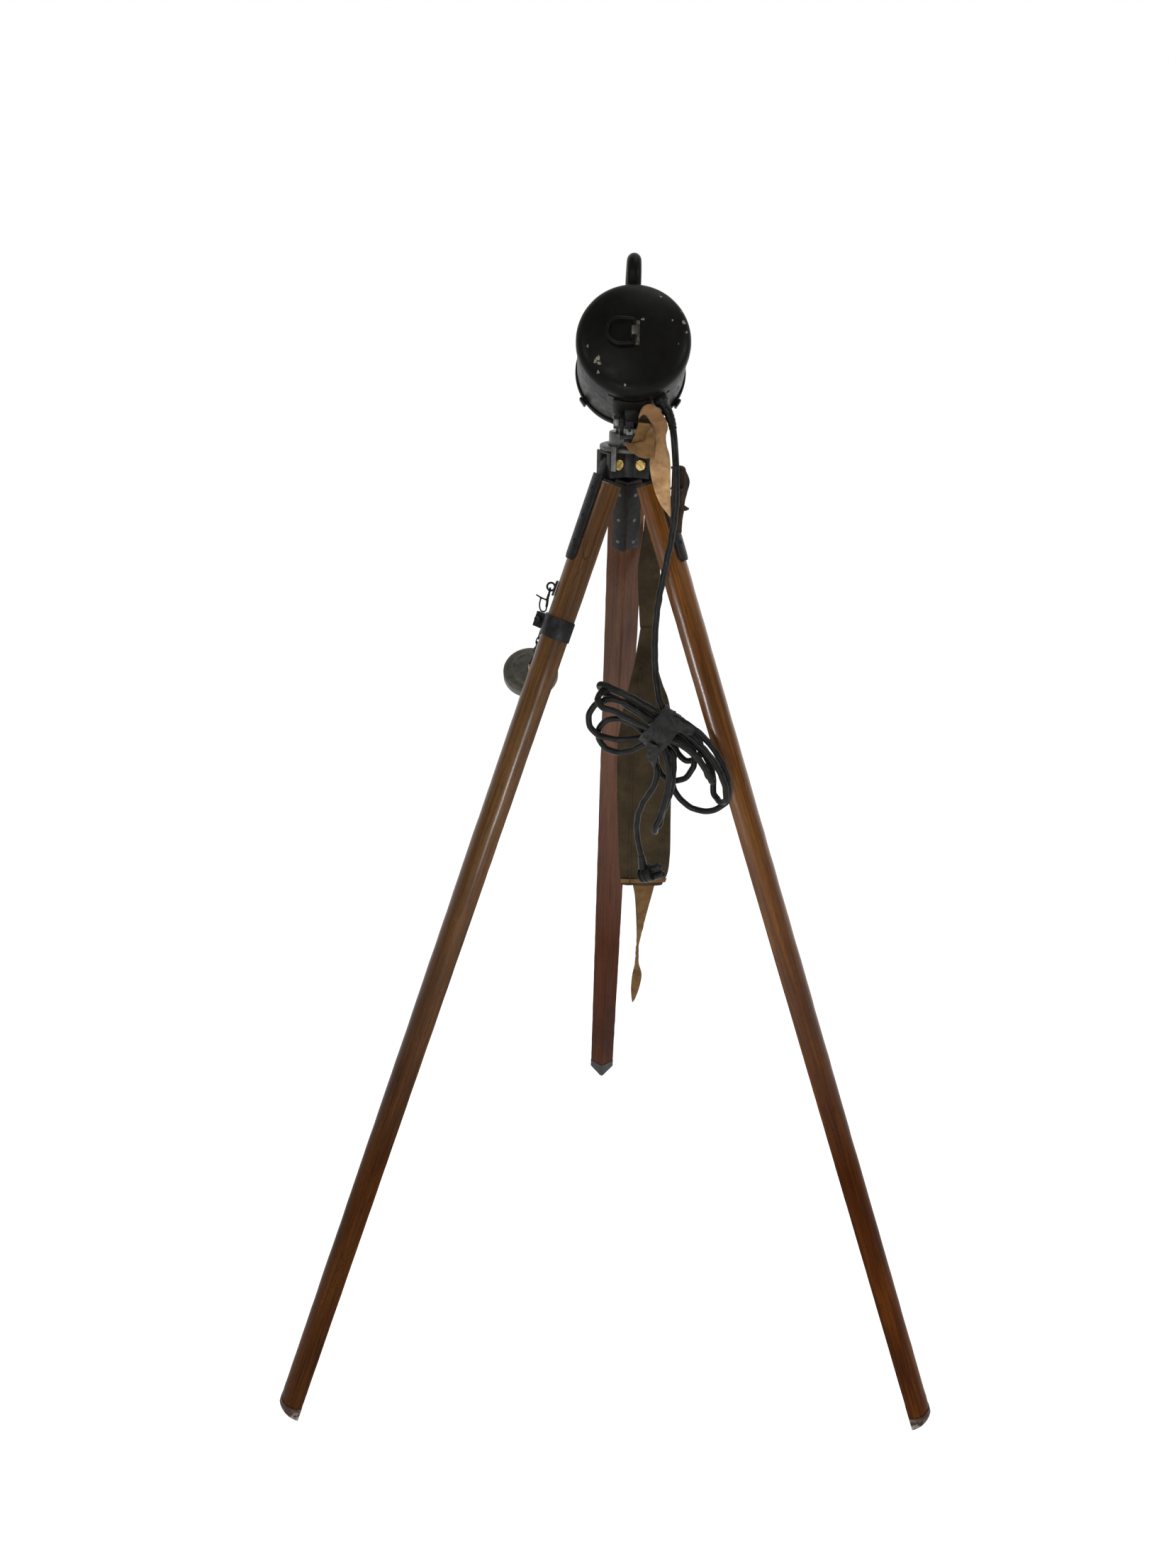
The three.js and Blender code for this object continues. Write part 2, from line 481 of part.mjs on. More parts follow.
const LEAD_ROUTE = [
  [44, -51, 1347], [46, -60, 1336], [47.5, -67, 1322], [49, -71, 1307],
];
const MAIN_ROUTE = [
  [49, -71.2, 1306.2], [50.5, -73, 1287], [51, -74, 1262], [49, -75, 1236], [44.5, -75, 1204],
  [38, -75, 1168], [34.5, -75, 1136], [34, -76, 1108], [36, -79, 1070], [39, -84, 1052],
];
const TAIL_ROUTE = [
  [20.5, -90.5, 926], [19.5, -90, 911], [19, -89.5, 891], [19, -89.3, 869], [23, -90.5, 848], [27, -91.6, 833],
  [29.6, -92.2, 821],
];
const HANK_LEFT = new THREE.Vector3(-8, -82, 0); // the hank's plane runs through these two
const HANK_RIGHT = new THREE.Vector3(88, -106, 0);
const HANK_THICKNESS = 26;

function makeFlex() {
  const firstPoint = glandWorld.toArray();
  const outward = roundDrum(6, 30, 0);
  const second = new THREE.Vector3(...outward).applyQuaternion(lamp.quaternion).add(glandWorld);
  add(model, 'cord_lead', tube([firstPoint, second.toArray(), ...LEAD_ROUTE], CORD_RADIUS, 10, 14), rubber);
  add(model, 'cord_drop', tube(MAIN_ROUTE, CORD_RADIUS, 10, 34), rubber);
  add(model, 'cord_tail', tube(TAIL_ROUTE, CORD_RADIUS, 10, 16), rubber);

  // The hank's outline in its own plane: (distance along the plane from x = 0, height).
  const along = HANK_RIGHT.clone().sub(HANK_LEFT).normalize();
  const outline = [[-48, 1012], [-40, 1046], [-8, 1057], [36, 1047], [72, 1022], [106, 996], [127, 950],
    [128, 905], [104, 884], [66, 868], [40, 862], [30, 890], [28, 930], [10, 948], [-20, 962], [-40, 984]];
  const curve = new THREE.SplineCurve([...outline, outline[0]].map(([s, z]) => new THREE.Vector2(s, -z)));
  const hank = prism(new THREE.Shape(curve.getPoints(48).slice(0, -1)), -HANK_THICKNESS / 2, HANK_THICKNESS / 2)
    .rotateX(-Math.PI / 2);
  const start = HANK_LEFT.clone().addScaledVector(along, -HANK_LEFT.x / along.x);
  const mesh = add(model, 'cord_hank', hank, rubber);
  mesh.position.copy(start);
  mesh.rotation.z = Math.atan2(along.y, along.x);

  const plug = new THREE.Group();
  plug.position.set(31.2, -92.2, 804.8);
  plug.rotation.set(0, rad(62), rad(-24), 'ZYX');
  model.add(plug);
  const shell = turnedUpright([[0, -5], [4.6, -5], [8.6, -1], [10.6, 3], [10.6, 7], [9.4, 8], [10.6, 9],
    [10.6, 14], [0, 14]], 24);
  add(plug, 'plug_body', shell, rubber);
  for (const [name, x] of [['plug_pin_upper', -5.4], ['plug_pin_lower', 5.4]]) {
    const pin = turnedUpright([[0, 14.3], [4.8, 14.3], [4.8, 25], [3.6, 27.5], [0, 28.4]], 16).translate(x, 0, 0);
    add(plug, name, pin, blackSteel);
  }
}

// ---------------------------------------------------------------- leather sling
function makeSling() {
  // The loop hangs over the tilt bolt's long end and falls on both sides of the head.
  const loopLine = [[-61, 1309], [-60.5, 1324], [-57, 1338], [-47, 1349.5], [-34, 1353.4], [-18, 1346],
    [0, 1338.5], [16, 1329], [30, 1315], [36, 1302]];
  add(model, 'sling_loop', bandYZ(loopLine, 5, 21.5, 33, 30), tanLeather);
  add(model, 'sling_flap', slabXZ([[-11, 1335], [-5, 1321], [3, 1315], [12, 1311.5], [22, 1311.5], [23.4, 1330],
    [16, 1345], [9, 1341], [4, 1329]], -68, -64), oliveLeather);
  add(model, 'sling_front', slabXZ([[22, 1308.5], [24, 1288], [32, 1266], [40, 1246], [44, 1246], [44.5, 1285],
    [43, 1308.5]], -64, -58), tanLeather);
  const buckle = join(slabXZ([[45.5, 1304], [58, 1300], [56, 1280], [45.5, 1278]], -66, -57),
    block([45.5, -63, 1264], [49, -60, 1279]), block([45.5, -63, 1264], [57, -60, 1267]));
  add(model, 'sling_buckle', buckle, darkLeather);

  const rearLine = [[36.4, 1301.2], [40, 1280], [42, 1240], [43, 1180], [44, 1130], [45, 1086]];
  add(model, 'sling_rear', bandYZ(rearLine, 7, 23, 37, 30), darkLeather);
  const boot = slabXZ([[23, 1085.5], [40, 1085.5], [46, 1034], [58, 1000], [66, 978], [70, 940], [72, 860],
    [75, 760], [74, 712], [8, 710], [4, 760], [-1, 860], [-2, 920], [6, 985], [16, 1034]], 40, 52);
  add(model, 'sling_boot', boot, oliveLeather);
  const tail = slabXZ([[24, 709.5], [56, 709.5], [44, 650], [36, 600], [45, 560], [36, 512], [30, 512],
    [27, 540], [33, 600], [32, 650]], 43, 49);
  add(model, 'sling_tail', tail, oliveLeather);
}

// ---------------------------------------------------------------- assembly
makeHead();
const leftLeg = makeLeg('left', darkWood);
makeLeg('right', amberWood);
makeLeg('rear', redWood);
makeLeftLegFittings(leftLeg);
makeDustCap();
makeSwivel();
makeDrum();
makeRearCap();
makeHandle();
makeSaddle();
makeFlex();
makeSling();

// Stand the model over the origin by the box of its rigid pieces, flex and plug left out.
const group = new THREE.Group();
group.add(model);
const box = new THREE.Box3();
group.updateMatrixWorld(true);
model.traverse((piece) => {
  if (piece.isMesh && !/^(cord_(lead|drop|tail|hank)|plug)/.test(piece.name)) box.expandByObject(piece, true);
});
model.position.set(-(box.min.x + box.max.x) / 2, -(box.min.y + box.max.y) / 2, -box.min.z);

export default group;
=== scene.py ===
"""Looks of the signal lamp on its folding wooden tripod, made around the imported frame.

Every piece is drawn in millimetres in a local frame taken from the CAD (the tripod's axis, a leg's
hinge or the lamp's drum), and that frame's matrix places it in the model, in metres.
"""

import json
import math

import bmesh
import bpy
import numpy as np
from mathutils import Matrix, Vector, noise


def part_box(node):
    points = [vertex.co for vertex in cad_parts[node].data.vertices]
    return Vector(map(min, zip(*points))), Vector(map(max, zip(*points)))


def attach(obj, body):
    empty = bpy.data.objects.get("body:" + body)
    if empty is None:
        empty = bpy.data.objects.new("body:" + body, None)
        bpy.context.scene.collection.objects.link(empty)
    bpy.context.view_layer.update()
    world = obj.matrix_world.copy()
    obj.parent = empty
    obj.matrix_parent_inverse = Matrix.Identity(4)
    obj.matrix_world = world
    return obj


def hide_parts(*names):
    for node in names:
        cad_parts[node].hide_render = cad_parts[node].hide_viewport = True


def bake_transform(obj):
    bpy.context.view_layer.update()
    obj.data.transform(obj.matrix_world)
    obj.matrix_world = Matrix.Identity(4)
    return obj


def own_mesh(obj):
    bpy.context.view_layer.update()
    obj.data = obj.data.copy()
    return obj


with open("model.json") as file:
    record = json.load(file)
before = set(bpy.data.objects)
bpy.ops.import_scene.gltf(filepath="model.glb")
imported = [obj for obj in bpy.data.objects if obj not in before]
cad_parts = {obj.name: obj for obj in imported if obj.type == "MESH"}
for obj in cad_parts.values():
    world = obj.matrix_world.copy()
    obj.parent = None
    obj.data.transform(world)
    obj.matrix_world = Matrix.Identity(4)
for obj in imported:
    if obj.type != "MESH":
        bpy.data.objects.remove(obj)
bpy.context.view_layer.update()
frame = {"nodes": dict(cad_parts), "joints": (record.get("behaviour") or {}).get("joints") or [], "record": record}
scene = bpy.context.scene
JOINTS = {joint["name"]: joint for joint in frame["joints"]}
MILLI = Matrix.Scale(0.001, 4)


# ---------------------------------------------------------------- frames, from the CAD
def middle(node):
    low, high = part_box(node)
    return (Vector(low) + Vector(high)) / 2


def placed(origin, x, y, z):
    """The matrix from local millimetres to the model's metres."""
    turn = Matrix((x, y, z)).transposed().to_4x4()
    return Matrix.Translation(origin) @ turn @ MILLI


AXIS = Vector((0, middle("head_socket").y, 0))
TRIPOD = Matrix.Translation(AXIS) @ MILLI
HINGE_Z = JOINTS["leg_rear_fold"]["pos_m"][2] * 1000
SPREAD = math.radians(JOINTS["leg_rear_fold"]["range_deg"][1])
UP = Vector((0, 0, 1))
RIGHT = Vector((1, 0, 0))

BEAM = -Vector(JOINTS["cap_slide"]["axis"]).normalized()
DRUM_MIDDLE = 5.5  # of the drum shell, along the beam from the lamp's origin
LAMP = placed(middle("drum_shell") - BEAM * DRUM_MIDDLE / 1000, RIGHT, BEAM, RIGHT.cross(BEAM))
GLAND = LAMP @ Matrix.Rotation(math.radians(-30), 4, "Y") @ Matrix.Translation((0, -10, 0))


def leg_place(side):
    """A leg's frame: origin on its hinge, X outward, Y along the hinge, Z up the leg."""
    joint = JOINTS[f"leg_{side}_fold"]
    along_hinge = Vector(joint["axis"]).normalized()
    outward = along_hinge.cross(UP)
    x = outward * math.cos(SPREAD) + UP * math.sin(SPREAD)
    z = UP * math.cos(SPREAD) - outward * math.sin(SPREAD)
    return placed(Vector(joint["pos_m"]), x, along_hinge, z)


LEGS = {side: leg_place(side) for side in ("left", "right", "rear")}
LEG_RADIUS = 22
ARC_X = -10.8
APEX_X = ARC_X - LEG_RADIUS / math.tan(math.radians(60))
LEG_LENGTH = 1385

# ---------------------------------------------------------------- camera
eye = AXIS + Vector((-0.0453, -1.3808, 1.5395))
looking = Vector((0.0035, 0.9039, -0.4277)).normalized()
rightward = Vector((0.9998, 0.0042, 0.017)).normalized()
upward = rightward.cross(looking).normalized()
camera_data = bpy.data.cameras.new("camera")
camera_data.sensor_width = 36
camera_data.lens = 27.03
camera_data.clip_start = 0.05
camera_data.clip_end = 60
camera = bpy.data.objects.new("camera", camera_data)
camera.matrix_world = Matrix.Translation(eye) @ Matrix((rightward, upward, -looking)).transposed().to_4x4()
scene.collection.objects.link(camera)
scene.camera = camera


# ---------------------------------------------------------------- shader helpers
class Shade:
    """A material's node tree, with short calls for the nodes used here."""

    def __init__(self, name, roughness=0.5, metallic=0.0, **settings):
        self.material = bpy.data.materials.new(name)
        self.material.use_nodes = True
        self.nodes = self.material.node_tree.nodes
        self.link = self.material.node_tree.links.new
        self.bsdf = self.nodes["Principled BSDF"]
        self.bsdf.inputs["Roughness"].default_value = roughness
        self.bsdf.inputs["Metallic"].default_value = metallic
        for key, value in settings.items():
            self.bsdf.inputs[key.replace("_", " ").title().replace("Ior", "IOR")].default_value = value
        self.place = self.nodes.new("ShaderNodeTexCoord").outputs["Object"]

    def feed(self, socket, value):
        """Sets an input to a number or a colour, or links a node's output to it."""
        if isinstance(value, bpy.types.NodeSocket):
            self.link(value, socket)
        elif isinstance(value, tuple):
            socket.default_value = (*value, 1)
        else:
            socket.default_value = value

    def along(self, matrix, size):
        """Coordinates in a local frame, divided by the size of the detail in millimetres."""
        node = self.nodes.new("ShaderNodeMapping")
        node.vector_type = "TEXTURE"
        node.inputs["Location"].default_value = matrix.translation
        node.inputs["Rotation"].default_value = matrix.to_3x3().normalized().to_euler()
        node.inputs["Scale"].default_value = [s / 1000 for s in size]
        self.link(self.place, node.inputs["Vector"])
        return node.outputs["Vector"]

    def noise(self, size=1.0, detail=4.0, roughness=0.55, distortion=0.0, vector=None):
        """Noise whose lumps are `size` millimetres across, or one unit of `vector`."""
        node = self.nodes.new("ShaderNodeTexNoise")
        node.inputs["Scale"].default_value = 1000 / size if vector is None else 1 / size
        node.inputs["Detail"].default_value = detail
        node.inputs["Roughness"].default_value = roughness
        node.inputs["Distortion"].default_value = distortion
        self.link(self.place if vector is None else vector, node.inputs["Vector"])
        return node.outputs["Fac"]

    def cells(self, size=1.0, vector=None, feature="F1"):
        node = self.nodes.new("ShaderNodeTexVoronoi")
        node.feature = feature
        node.inputs["Scale"].default_value = 1000 / size if vector is None else 1 / size
        self.link(self.place if vector is None else vector, node.inputs["Vector"])
        return node.outputs["Distance"]

    def ramp(self, factor, *stops):
        """Colours or grey values at positions from 0 to 1, in rising order."""
        node = self.nodes.new("ShaderNodeValToRGB")
        marks = node.color_ramp.elements
        while len(marks) < len(stops):
            marks.new(0.5)
        for mark, (position, value) in zip(marks, stops):
            mark.position = position
            mark.color = (*value, 1) if isinstance(value, tuple) else (value, value, value, 1)
        self.link(factor, node.inputs["Fac"])
        return node.outputs["Color"]

    def mix(self, factor, first, second, blend="MIX"):
        node = self.nodes.new("ShaderNodeMix")
        node.data_type = "RGBA"
        node.blend_type = blend
        for socket, value in ((node.inputs[0], factor), (node.inputs[6], first), (node.inputs[7], second)):
            self.feed(socket, value)
        return node.outputs[2]

    def math(self, operation, first, second=0.0):
        node = self.nodes.new("ShaderNodeMath")
        node.operation = operation
        for socket, value in zip(node.inputs, (first, second)):
            self.feed(socket, value)
        return node.outputs[0]

    def height(self, low, high):
        """0 up to the height `low` over the floor, 1 from `high` upwards, both in metres."""
        split = self.nodes.new("ShaderNodeSeparateXYZ")
        self.link(self.place, split.inputs["Vector"])
        node = self.nodes.new("ShaderNodeMapRange")
        node.inputs["From Min"].default_value = low
        node.inputs["From Max"].default_value = high
        self.link(split.outputs["Z"], node.inputs["Value"])
        return node.outputs["Result"]

    def near(self, point, radius):
        """1 within about `radius` millimetres of a point in metres, with a ragged edge, else 0."""
        node = self.nodes.new("ShaderNodeVectorMath")
        node.operation = "DISTANCE"
        self.link(self.place, node.inputs[0])
        node.inputs[1].default_value = point
        wobble = self.math("MULTIPLY", self.math("SUBTRACT", self.noise(1.6, 3), 0.5), 0.0064)
        distance = self.math("ADD", node.outputs["Value"], wobble)
        return self.math("LESS_THAN", distance, radius / 1000)

    def color(self, value):
        self.feed(self.bsdf.inputs["Base Color"], value)

    def rough(self, value):
        self.link(value, self.bsdf.inputs["Roughness"])

    def bump(self, height, depth=0.2, strength=0.6, after=None):
        """Relief of `depth` millimetres."""
        node = self.nodes.new("ShaderNodeBump")
        node.inputs["Strength"].default_value = strength
        node.inputs["Distance"].default_value = depth / 1000
        self.link(height, node.inputs["Height"])
        if after is not None:
            self.link(after, node.inputs["Normal"])
        self.link(node.outputs["Normal"], self.bsdf.inputs["Normal"])
        return node.outputs["Normal"]


# ---------------------------------------------------------------- materials
def on_cap(x, z):
    """A point on the domed back of the lamp."""
    r = math.hypot(x, z)
    return LAMP @ Vector((x, -52 + r * r / 500 + max(0, r - 50) ** 2 / 14, z))


def lamp_paint():
    shade = Shade("lamp_paint", 0.42, 0.0, specular_ior_level=0.08)
    cloudy = shade.noise(38, 4)
    paint = shade.ramp(cloudy, (0.3, (0.0025, 0.0025, 0.0022)), (0.7, (0.0058, 0.0054, 0.0048)))
    fine = shade.ramp(shade.noise(1.6, 6, 0.7), (0.72, 0.0), (0.8, 1.0))
    paint = shade.mix(shade.math("MULTIPLY", fine, 0.3), paint, (0.03, 0.028, 0.024))
    chips = [(-44, 41, 1.5), (-46, 37, 1.2), (28, 44, 1.2), (53, 17, 2.0), (50, 30, 1.0), (56, 6, 1.3),
             (41, 17, 0.7), (48, -8, 0.6), (-50, -12, 1.2), (-41, -29, 1.8), (-38, -26, 2.4),
             (-37, -31, 1.6), (-38, -40, 1.2), (-53, -38, 1.5), (-9, -54, 1.2), (9, 16, 1.2),
             (-1, 7.5, 1.0)]
    bare = None
    for x, z, radius in chips:
        spot = shade.near(on_cap(x, z), radius)
        bare = spot if bare is None else shade.math("MAXIMUM", bare, spot)
    paint = shade.mix(bare, paint, (0.2, 0.185, 0.14))
    shade.color(paint)
    shade.rough(shade.ramp(shade.noise(9, 5), (0.3, 0.34), (0.75, 0.52)))
    relief = shade.bump(shade.noise(2.2, 3), 0.12, 0.25)
    shade.bump(shade.math("SUBTRACT", 1.0, bare), 0.25, 0.5, after=relief)
    return shade.material


def drum_paint():
    shade = Shade("drum_paint", 0.4, 0.0, specular_ior_level=0.1)
    cloudy = shade.noise(26, 5, 0.6)
    paint = shade.ramp(cloudy, (0.3, (0.0045, 0.0042, 0.0038)), (0.7, (0.012, 0.0112, 0.0102)))
    streaks = shade.noise(vector=shade.along(LAMP, (9, 2.2, 9)), detail=5)
    scuffs = shade.ramp(streaks, (0.6, 0.0), (0.75, 1.0))
    paint = shade.mix(shade.math("MULTIPLY", scuffs, 0.35), paint, (0.05, 0.046, 0.04))
    shade.color(paint)
    shade.rough(shade.ramp(shade.noise(7, 4), (0.3, 0.3), (0.75, 0.5)))
    shade.bump(shade.noise(3, 3), 0.15, 0.3)
    return shade.material


def steel(name, dark, light, roughness, metallic=0.85, patina=(0.1, 0.07, 0.045), rust=0.35, shine=0.5):
    shade = Shade(name, roughness, metallic, specular_ior_level=shine)
    tone = shade.ramp(shade.noise(7, 6, 0.65), (0.3, dark), (0.72, light))
    spots = shade.ramp(shade.noise(3.2, 5, 0.7), (0.56, 0.0), (0.7, 1.0))
    shade.color(shade.mix(shade.math("MULTIPLY", spots, rust), tone, patina))
    shade.rough(shade.ramp(shade.noise(4, 5), (0.3, roughness - 0.12), (0.75, roughness + 0.14)))
    shade.bump(shade.noise(1.3, 4), 0.1, 0.35)
    return shade.material


def varnished_wood(name, side, dark, middle_tone, light, dirt_and_shade, gloss):
    """Straight-grained varnished wood, with pores, bruises and a few short cracks."""
    shade = Shade(name, 0.4, 0.0, coat_weight=gloss, coat_roughness=0.2, specular_ior_level=0.1)
    place = LEGS[side]
    broad = shade.noise(vector=shade.along(place, (26, 26, 260)), detail=3)
    grain = shade.noise(vector=shade.along(place, (2.6, 2.6, 110)), detail=7, roughness=0.62,
                        distortion=0.25)
    pores = shade.noise(vector=shade.along(place, (0.7, 0.7, 9)), detail=3)
    both = shade.math("ADD", shade.math("MULTIPLY", broad, 0.45), shade.math("MULTIPLY", grain, 0.6))
    tone = shade.ramp(both, (0.36, dark), (0.52, middle_tone), (0.68, light))
    tone = shade.mix(shade.ramp(pores, (0.3, 0.55), (0.46, 0.0)), tone, dirt_and_shade)
    clouds = shade.noise(vector=shade.along(place, (30, 30, 150)), detail=4)
    stains = shade.ramp(clouds, (0.5, 0.0), (0.8, 0.5))
    tone = shade.mix(stains, tone, dirt_and_shade, "MULTIPLY")
    cracks = shade.ramp(shade.cells(vector=shade.along(place, (9, 9, 70)), feature="DISTANCE_TO_EDGE"),
                        (0.0, 1.0), (0.012, 0.0))
    some = shade.ramp(shade.noise(vector=shade.along(place, (30, 30, 90))), (0.56, 0.0), (0.6, 1.0))
    cracks = shade.math("MULTIPLY", cracks, some)
    bruises = shade.ramp(shade.cells(17), (0.04, 1.0), (0.09, 0.0))
    few = shade.ramp(shade.noise(21), (0.57, 0.0), (0.62, 1.0))
    bruises = shade.math("MULTIPLY", bruises, few)
    marks = shade.math("MAXIMUM", cracks, bruises)
    polish_and_shade = shade.height(0.42, 0.92)  # the varnish is worn off towards the foot, and the wood's colour is darkened there as painted shade
    # painted shade: the wood's colour is multiplied darker towards the foot
    painted_foot_shade = shade.ramp(polish_and_shade, (0.0, (0.68, 0.5, 0.34)), (1.0, (1.0, 1.0, 1.0)))
    tone = shade.mix(1.0, tone, painted_foot_shade, "MULTIPLY")
    varnish = shade.ramp(polish_and_shade, (0.0, gloss * 0.1), (1.0, gloss * 2.6))
    shade.link(varnish, shade.bsdf.inputs["Coat Weight"])
    shade.link(shade.ramp(polish_and_shade, (0.0, 0.02), (1.0, 0.12)), shade.bsdf.inputs["Specular IOR Level"])
    shade.color(shade.mix(shade.math("MULTIPLY", marks, 0.8), tone, tuple(c * 0.25 for c in dirt_and_shade)))
    shade.rough(shade.ramp(grain, (0.3, 0.26), (0.7, 0.44)))
    fine = shade.bump(shade.math("ADD", grain, pores), 0.12, 0.35)
    dents = shade.bump(shade.noise(14, 2), 0.8, 0.3, after=fine)
    shade.bump(shade.math("SUBTRACT", 1.0, marks), 0.5, 0.7, after=dents)
    return shade.material


def shoe_iron():
    """Iron coloured like the legs, chipped bright near the tip."""
    shade = Shade("shoe_iron", 0.45, 0.1, specular_ior_level=0.12)
    tone = shade.ramp(shade.noise(9, 6, 0.65), (0.3, (0.026, 0.012, 0.006)), (0.72, (0.07, 0.034, 0.018)))
    chips = shade.ramp(shade.noise(8, 4, 0.6), (0.47, 0.0), (0.53, 1.0))
    chips = shade.math("MULTIPLY", chips, shade.math("SUBTRACT", 1.0, shade.height(0.018, 0.044)))
    shade.color(shade.mix(chips, tone, (0.36, 0.34, 0.31)))
    shade.rough(shade.ramp(shade.noise(4, 5), (0.3, 0.36), (0.75, 0.56)))
    shade.bump(shade.noise(1.6, 4), 0.12, 0.35)
    return shade.material


def leather(name, dark, light, grime_and_shade, roughness=0.85, sheen=0.1, size=1.0, shadow_above=None):
    shade = Shade(name, roughness, 0.0, sheen_weight=sheen, sheen_roughness=0.6, specular_ior_level=0.15)
    cloudy = shade.ramp(shade.noise(15 * size, 5, 0.62), (0.3, dark), (0.7, light))
    freckles = shade.ramp(shade.noise(1.5, 4), (0.6, 0.0), (0.74, 0.5))
    tone = shade.mix(freckles, cloudy, grime_and_shade)
    stains = shade.ramp(shade.noise(24 * size, 5, 0.65), (0.55, 0.0), (0.75, 0.7))
    tone = shade.mix(stains, tone, grime_and_shade)
    specks = shade.ramp(shade.cells(4.2), (0.06, 1.0), (0.12, 0.0))
    tone = shade.mix(shade.math("MULTIPLY", specks, 0.75), tone, tuple(c * 0.3 for c in grime_and_shade))
    if shadow_above is not None:  # painted shade: darker above this height, in metres
        above = shade.height(shadow_above, shadow_above + 0.0455)
        dirt_and_shade = shade.ramp(above, (0.0, 0.0), (1.0, 0.85))
        # painted shade: a darker grime tone mixed in over the upper part of the strap
        tone = shade.mix(dirt_and_shade, tone, tuple(c * 1.5 for c in grime_and_shade))
    shade.color(tone)
    grain = shade.cells(1.3)
    first = shade.bump(grain, 0.18, 0.5)
    shade.bump(shade.noise(11, 4, 0.6), 1.2, 0.45, after=first)
    return shade.material


def rubber_sheath():
    shade = Shade("flex_sheath", 0.38, 0.0, specular_ior_level=0.16)
    cloudy = shade.noise(14, 4)
    shade.color(shade.ramp(cloudy, (0.3, (0.004, 0.004, 0.004)), (0.72, (0.012, 0.0115, 0.0105))))
    shade.rough(shade.ramp(shade.noise(5, 5), (0.3, 0.3), (0.75, 0.5)))
    shade.bump(shade.noise(1.8, 3), 0.1, 0.3)
    return shade.material


def tape_cloth():
    shade = Shade("tape_cloth", 0.6, 0.0, specular_ior_level=0.3)
    worn = shade.noise(6, 6, 0.7)
    shade.color(shade.ramp(worn, (0.35, (0.004, 0.004, 0.004)), (0.75, (0.02, 0.0195, 0.018))))
    weave = shade.noise(0.9, 2)
    first = shade.bump(weave, 0.2, 0.6)
    shade.bump(shade.noise(7, 5, 0.7), 1.5, 0.6, after=first)
    return shade.material


def clear(name, tint, roughness=0.03):
    shade = Shade(name, roughness, 0.0, transmission_weight=1.0)
    streaks = shade.noise(30, 3)
    shade.color(shade.ramp(streaks, (0.3, tint), (0.7, tuple(min(1, c + 0.04) for c in tint))))
    shade.rough(shade.ramp(shade.noise(6, 4), (0.4, roughness), (0.8, roughness + 0.06)))
    return shade.material


def silvering():
    shade = Shade("silvered_bowl", 0.1, 1.0)
    shade.color(shade.ramp(shade.noise(18, 4), (0.3, (0.75, 0.74, 0.7)), (0.7, (0.9, 0.9, 0.88))))
    shade.rough(shade.ramp(shade.noise(8, 4), (0.35, 0.06), (0.8, 0.2)))
    return shade.material


MATERIALS = {
    "lamp_paint": lamp_paint(),
    "drum_paint": drum_paint(),
    "black_steel": steel("rubbed_steel", (0.004, 0.004, 0.0042), (0.016, 0.0155, 0.015), 0.42, 0.1,
                         patina=(0.02, 0.014, 0.01), shine=0.2),
    "shoe_iron": shoe_iron(),
    "grey_steel": steel("grey_steel", (0.06, 0.06, 0.058), (0.16, 0.157, 0.15), 0.42, 0.7,
                        patina=(0.05, 0.035, 0.024), rust=0.25),
    "bright_steel": steel("bright_steel", (0.42, 0.42, 0.4), (0.72, 0.72, 0.69), 0.33, 0.9, rust=0.15),
    "olive_paint": steel("olive_metal", (0.035, 0.032, 0.022), (0.085, 0.078, 0.058), 0.45, 0.3,
                         patina=(0.16, 0.145, 0.11), rust=0.3),
    "brass": steel("worn_brass", (0.5, 0.33, 0.09), (0.85, 0.66, 0.28), 0.33, 0.95,
                   patina=(0.2, 0.12, 0.04), rust=0.3),
    "ring_brass": steel("rubbed_bar", (0.008, 0.0075, 0.006), (0.1, 0.09, 0.06), 0.42, 0.3,
                        patina=(0.005, 0.005, 0.004), rust=0.9),
    "dark_wood": varnished_wood("left_wood", "left", (0.04, 0.016, 0.004), (0.085, 0.036, 0.009),
                                (0.14, 0.066, 0.02), (0.018, 0.007, 0.002), 0.13),
    "amber_wood": varnished_wood("right_wood", "right", (0.05, 0.016, 0.0015), (0.11, 0.036, 0.003),
                                 (0.2, 0.08, 0.01), (0.018, 0.006, 0.001), 0.24),
    "red_wood": varnished_wood("rear_wood", "rear", (0.05, 0.016, 0.005), (0.085, 0.029, 0.01),
                              (0.13, 0.05, 0.019), (0.018, 0.006, 0.002), 0.06),
    "tan_leather": leather("tan_suede", (0.3, 0.165, 0.07), (0.52, 0.33, 0.16), (0.12, 0.058, 0.022),
                           shadow_above=1.296),
    "dark_leather": leather("oiled_leather", (0.014, 0.008, 0.004), (0.04, 0.022, 0.011),
                            (0.008, 0.005, 0.003), 0.6, 0.05),
    "olive_leather": leather("worn_leather", (0.022, 0.014, 0.0055), (0.052, 0.034, 0.014),
                             (0.012, 0.0075, 0.003), 0.75, 0.02, 2.0),
    "flap_leather": leather("flap_leather", (0.095, 0.047, 0.013), (0.18, 0.096, 0.032),
                            (0.05, 0.024, 0.007)),
    "flex_rubber": rubber_sheath(),
    "tape_cloth": tape_cloth(),
    "clear_glass": clear("lamp_glass", (0.9, 0.94, 0.93)),
    "silvered": silvering(),
}


# ---------------------------------------------------------------- mesh helpers
def soften(points, radius, steps=3, loop=False):
    """Rounds the corners of an outline of 2-D points."""
    points = [Vector(p) for p in points]
    out = []
    for k, here in enumerate(points):
        if not loop and k in (0, len(points) - 1):
            out.append(here)
            continue
        before, after = points[k - 1] - here, points[(k + 1) % len(points)] - here
        reach = min(radius, before.length * 0.45, after.length * 0.45)
        start, end = here + before.normalized() * reach, here + after.normalized() * reach
        for step in range(steps + 1):
            t = step / steps
            out.append(start * (1 - t) ** 2 + here * (2 * t * (1 - t)) + end * t ** 2)
    return out


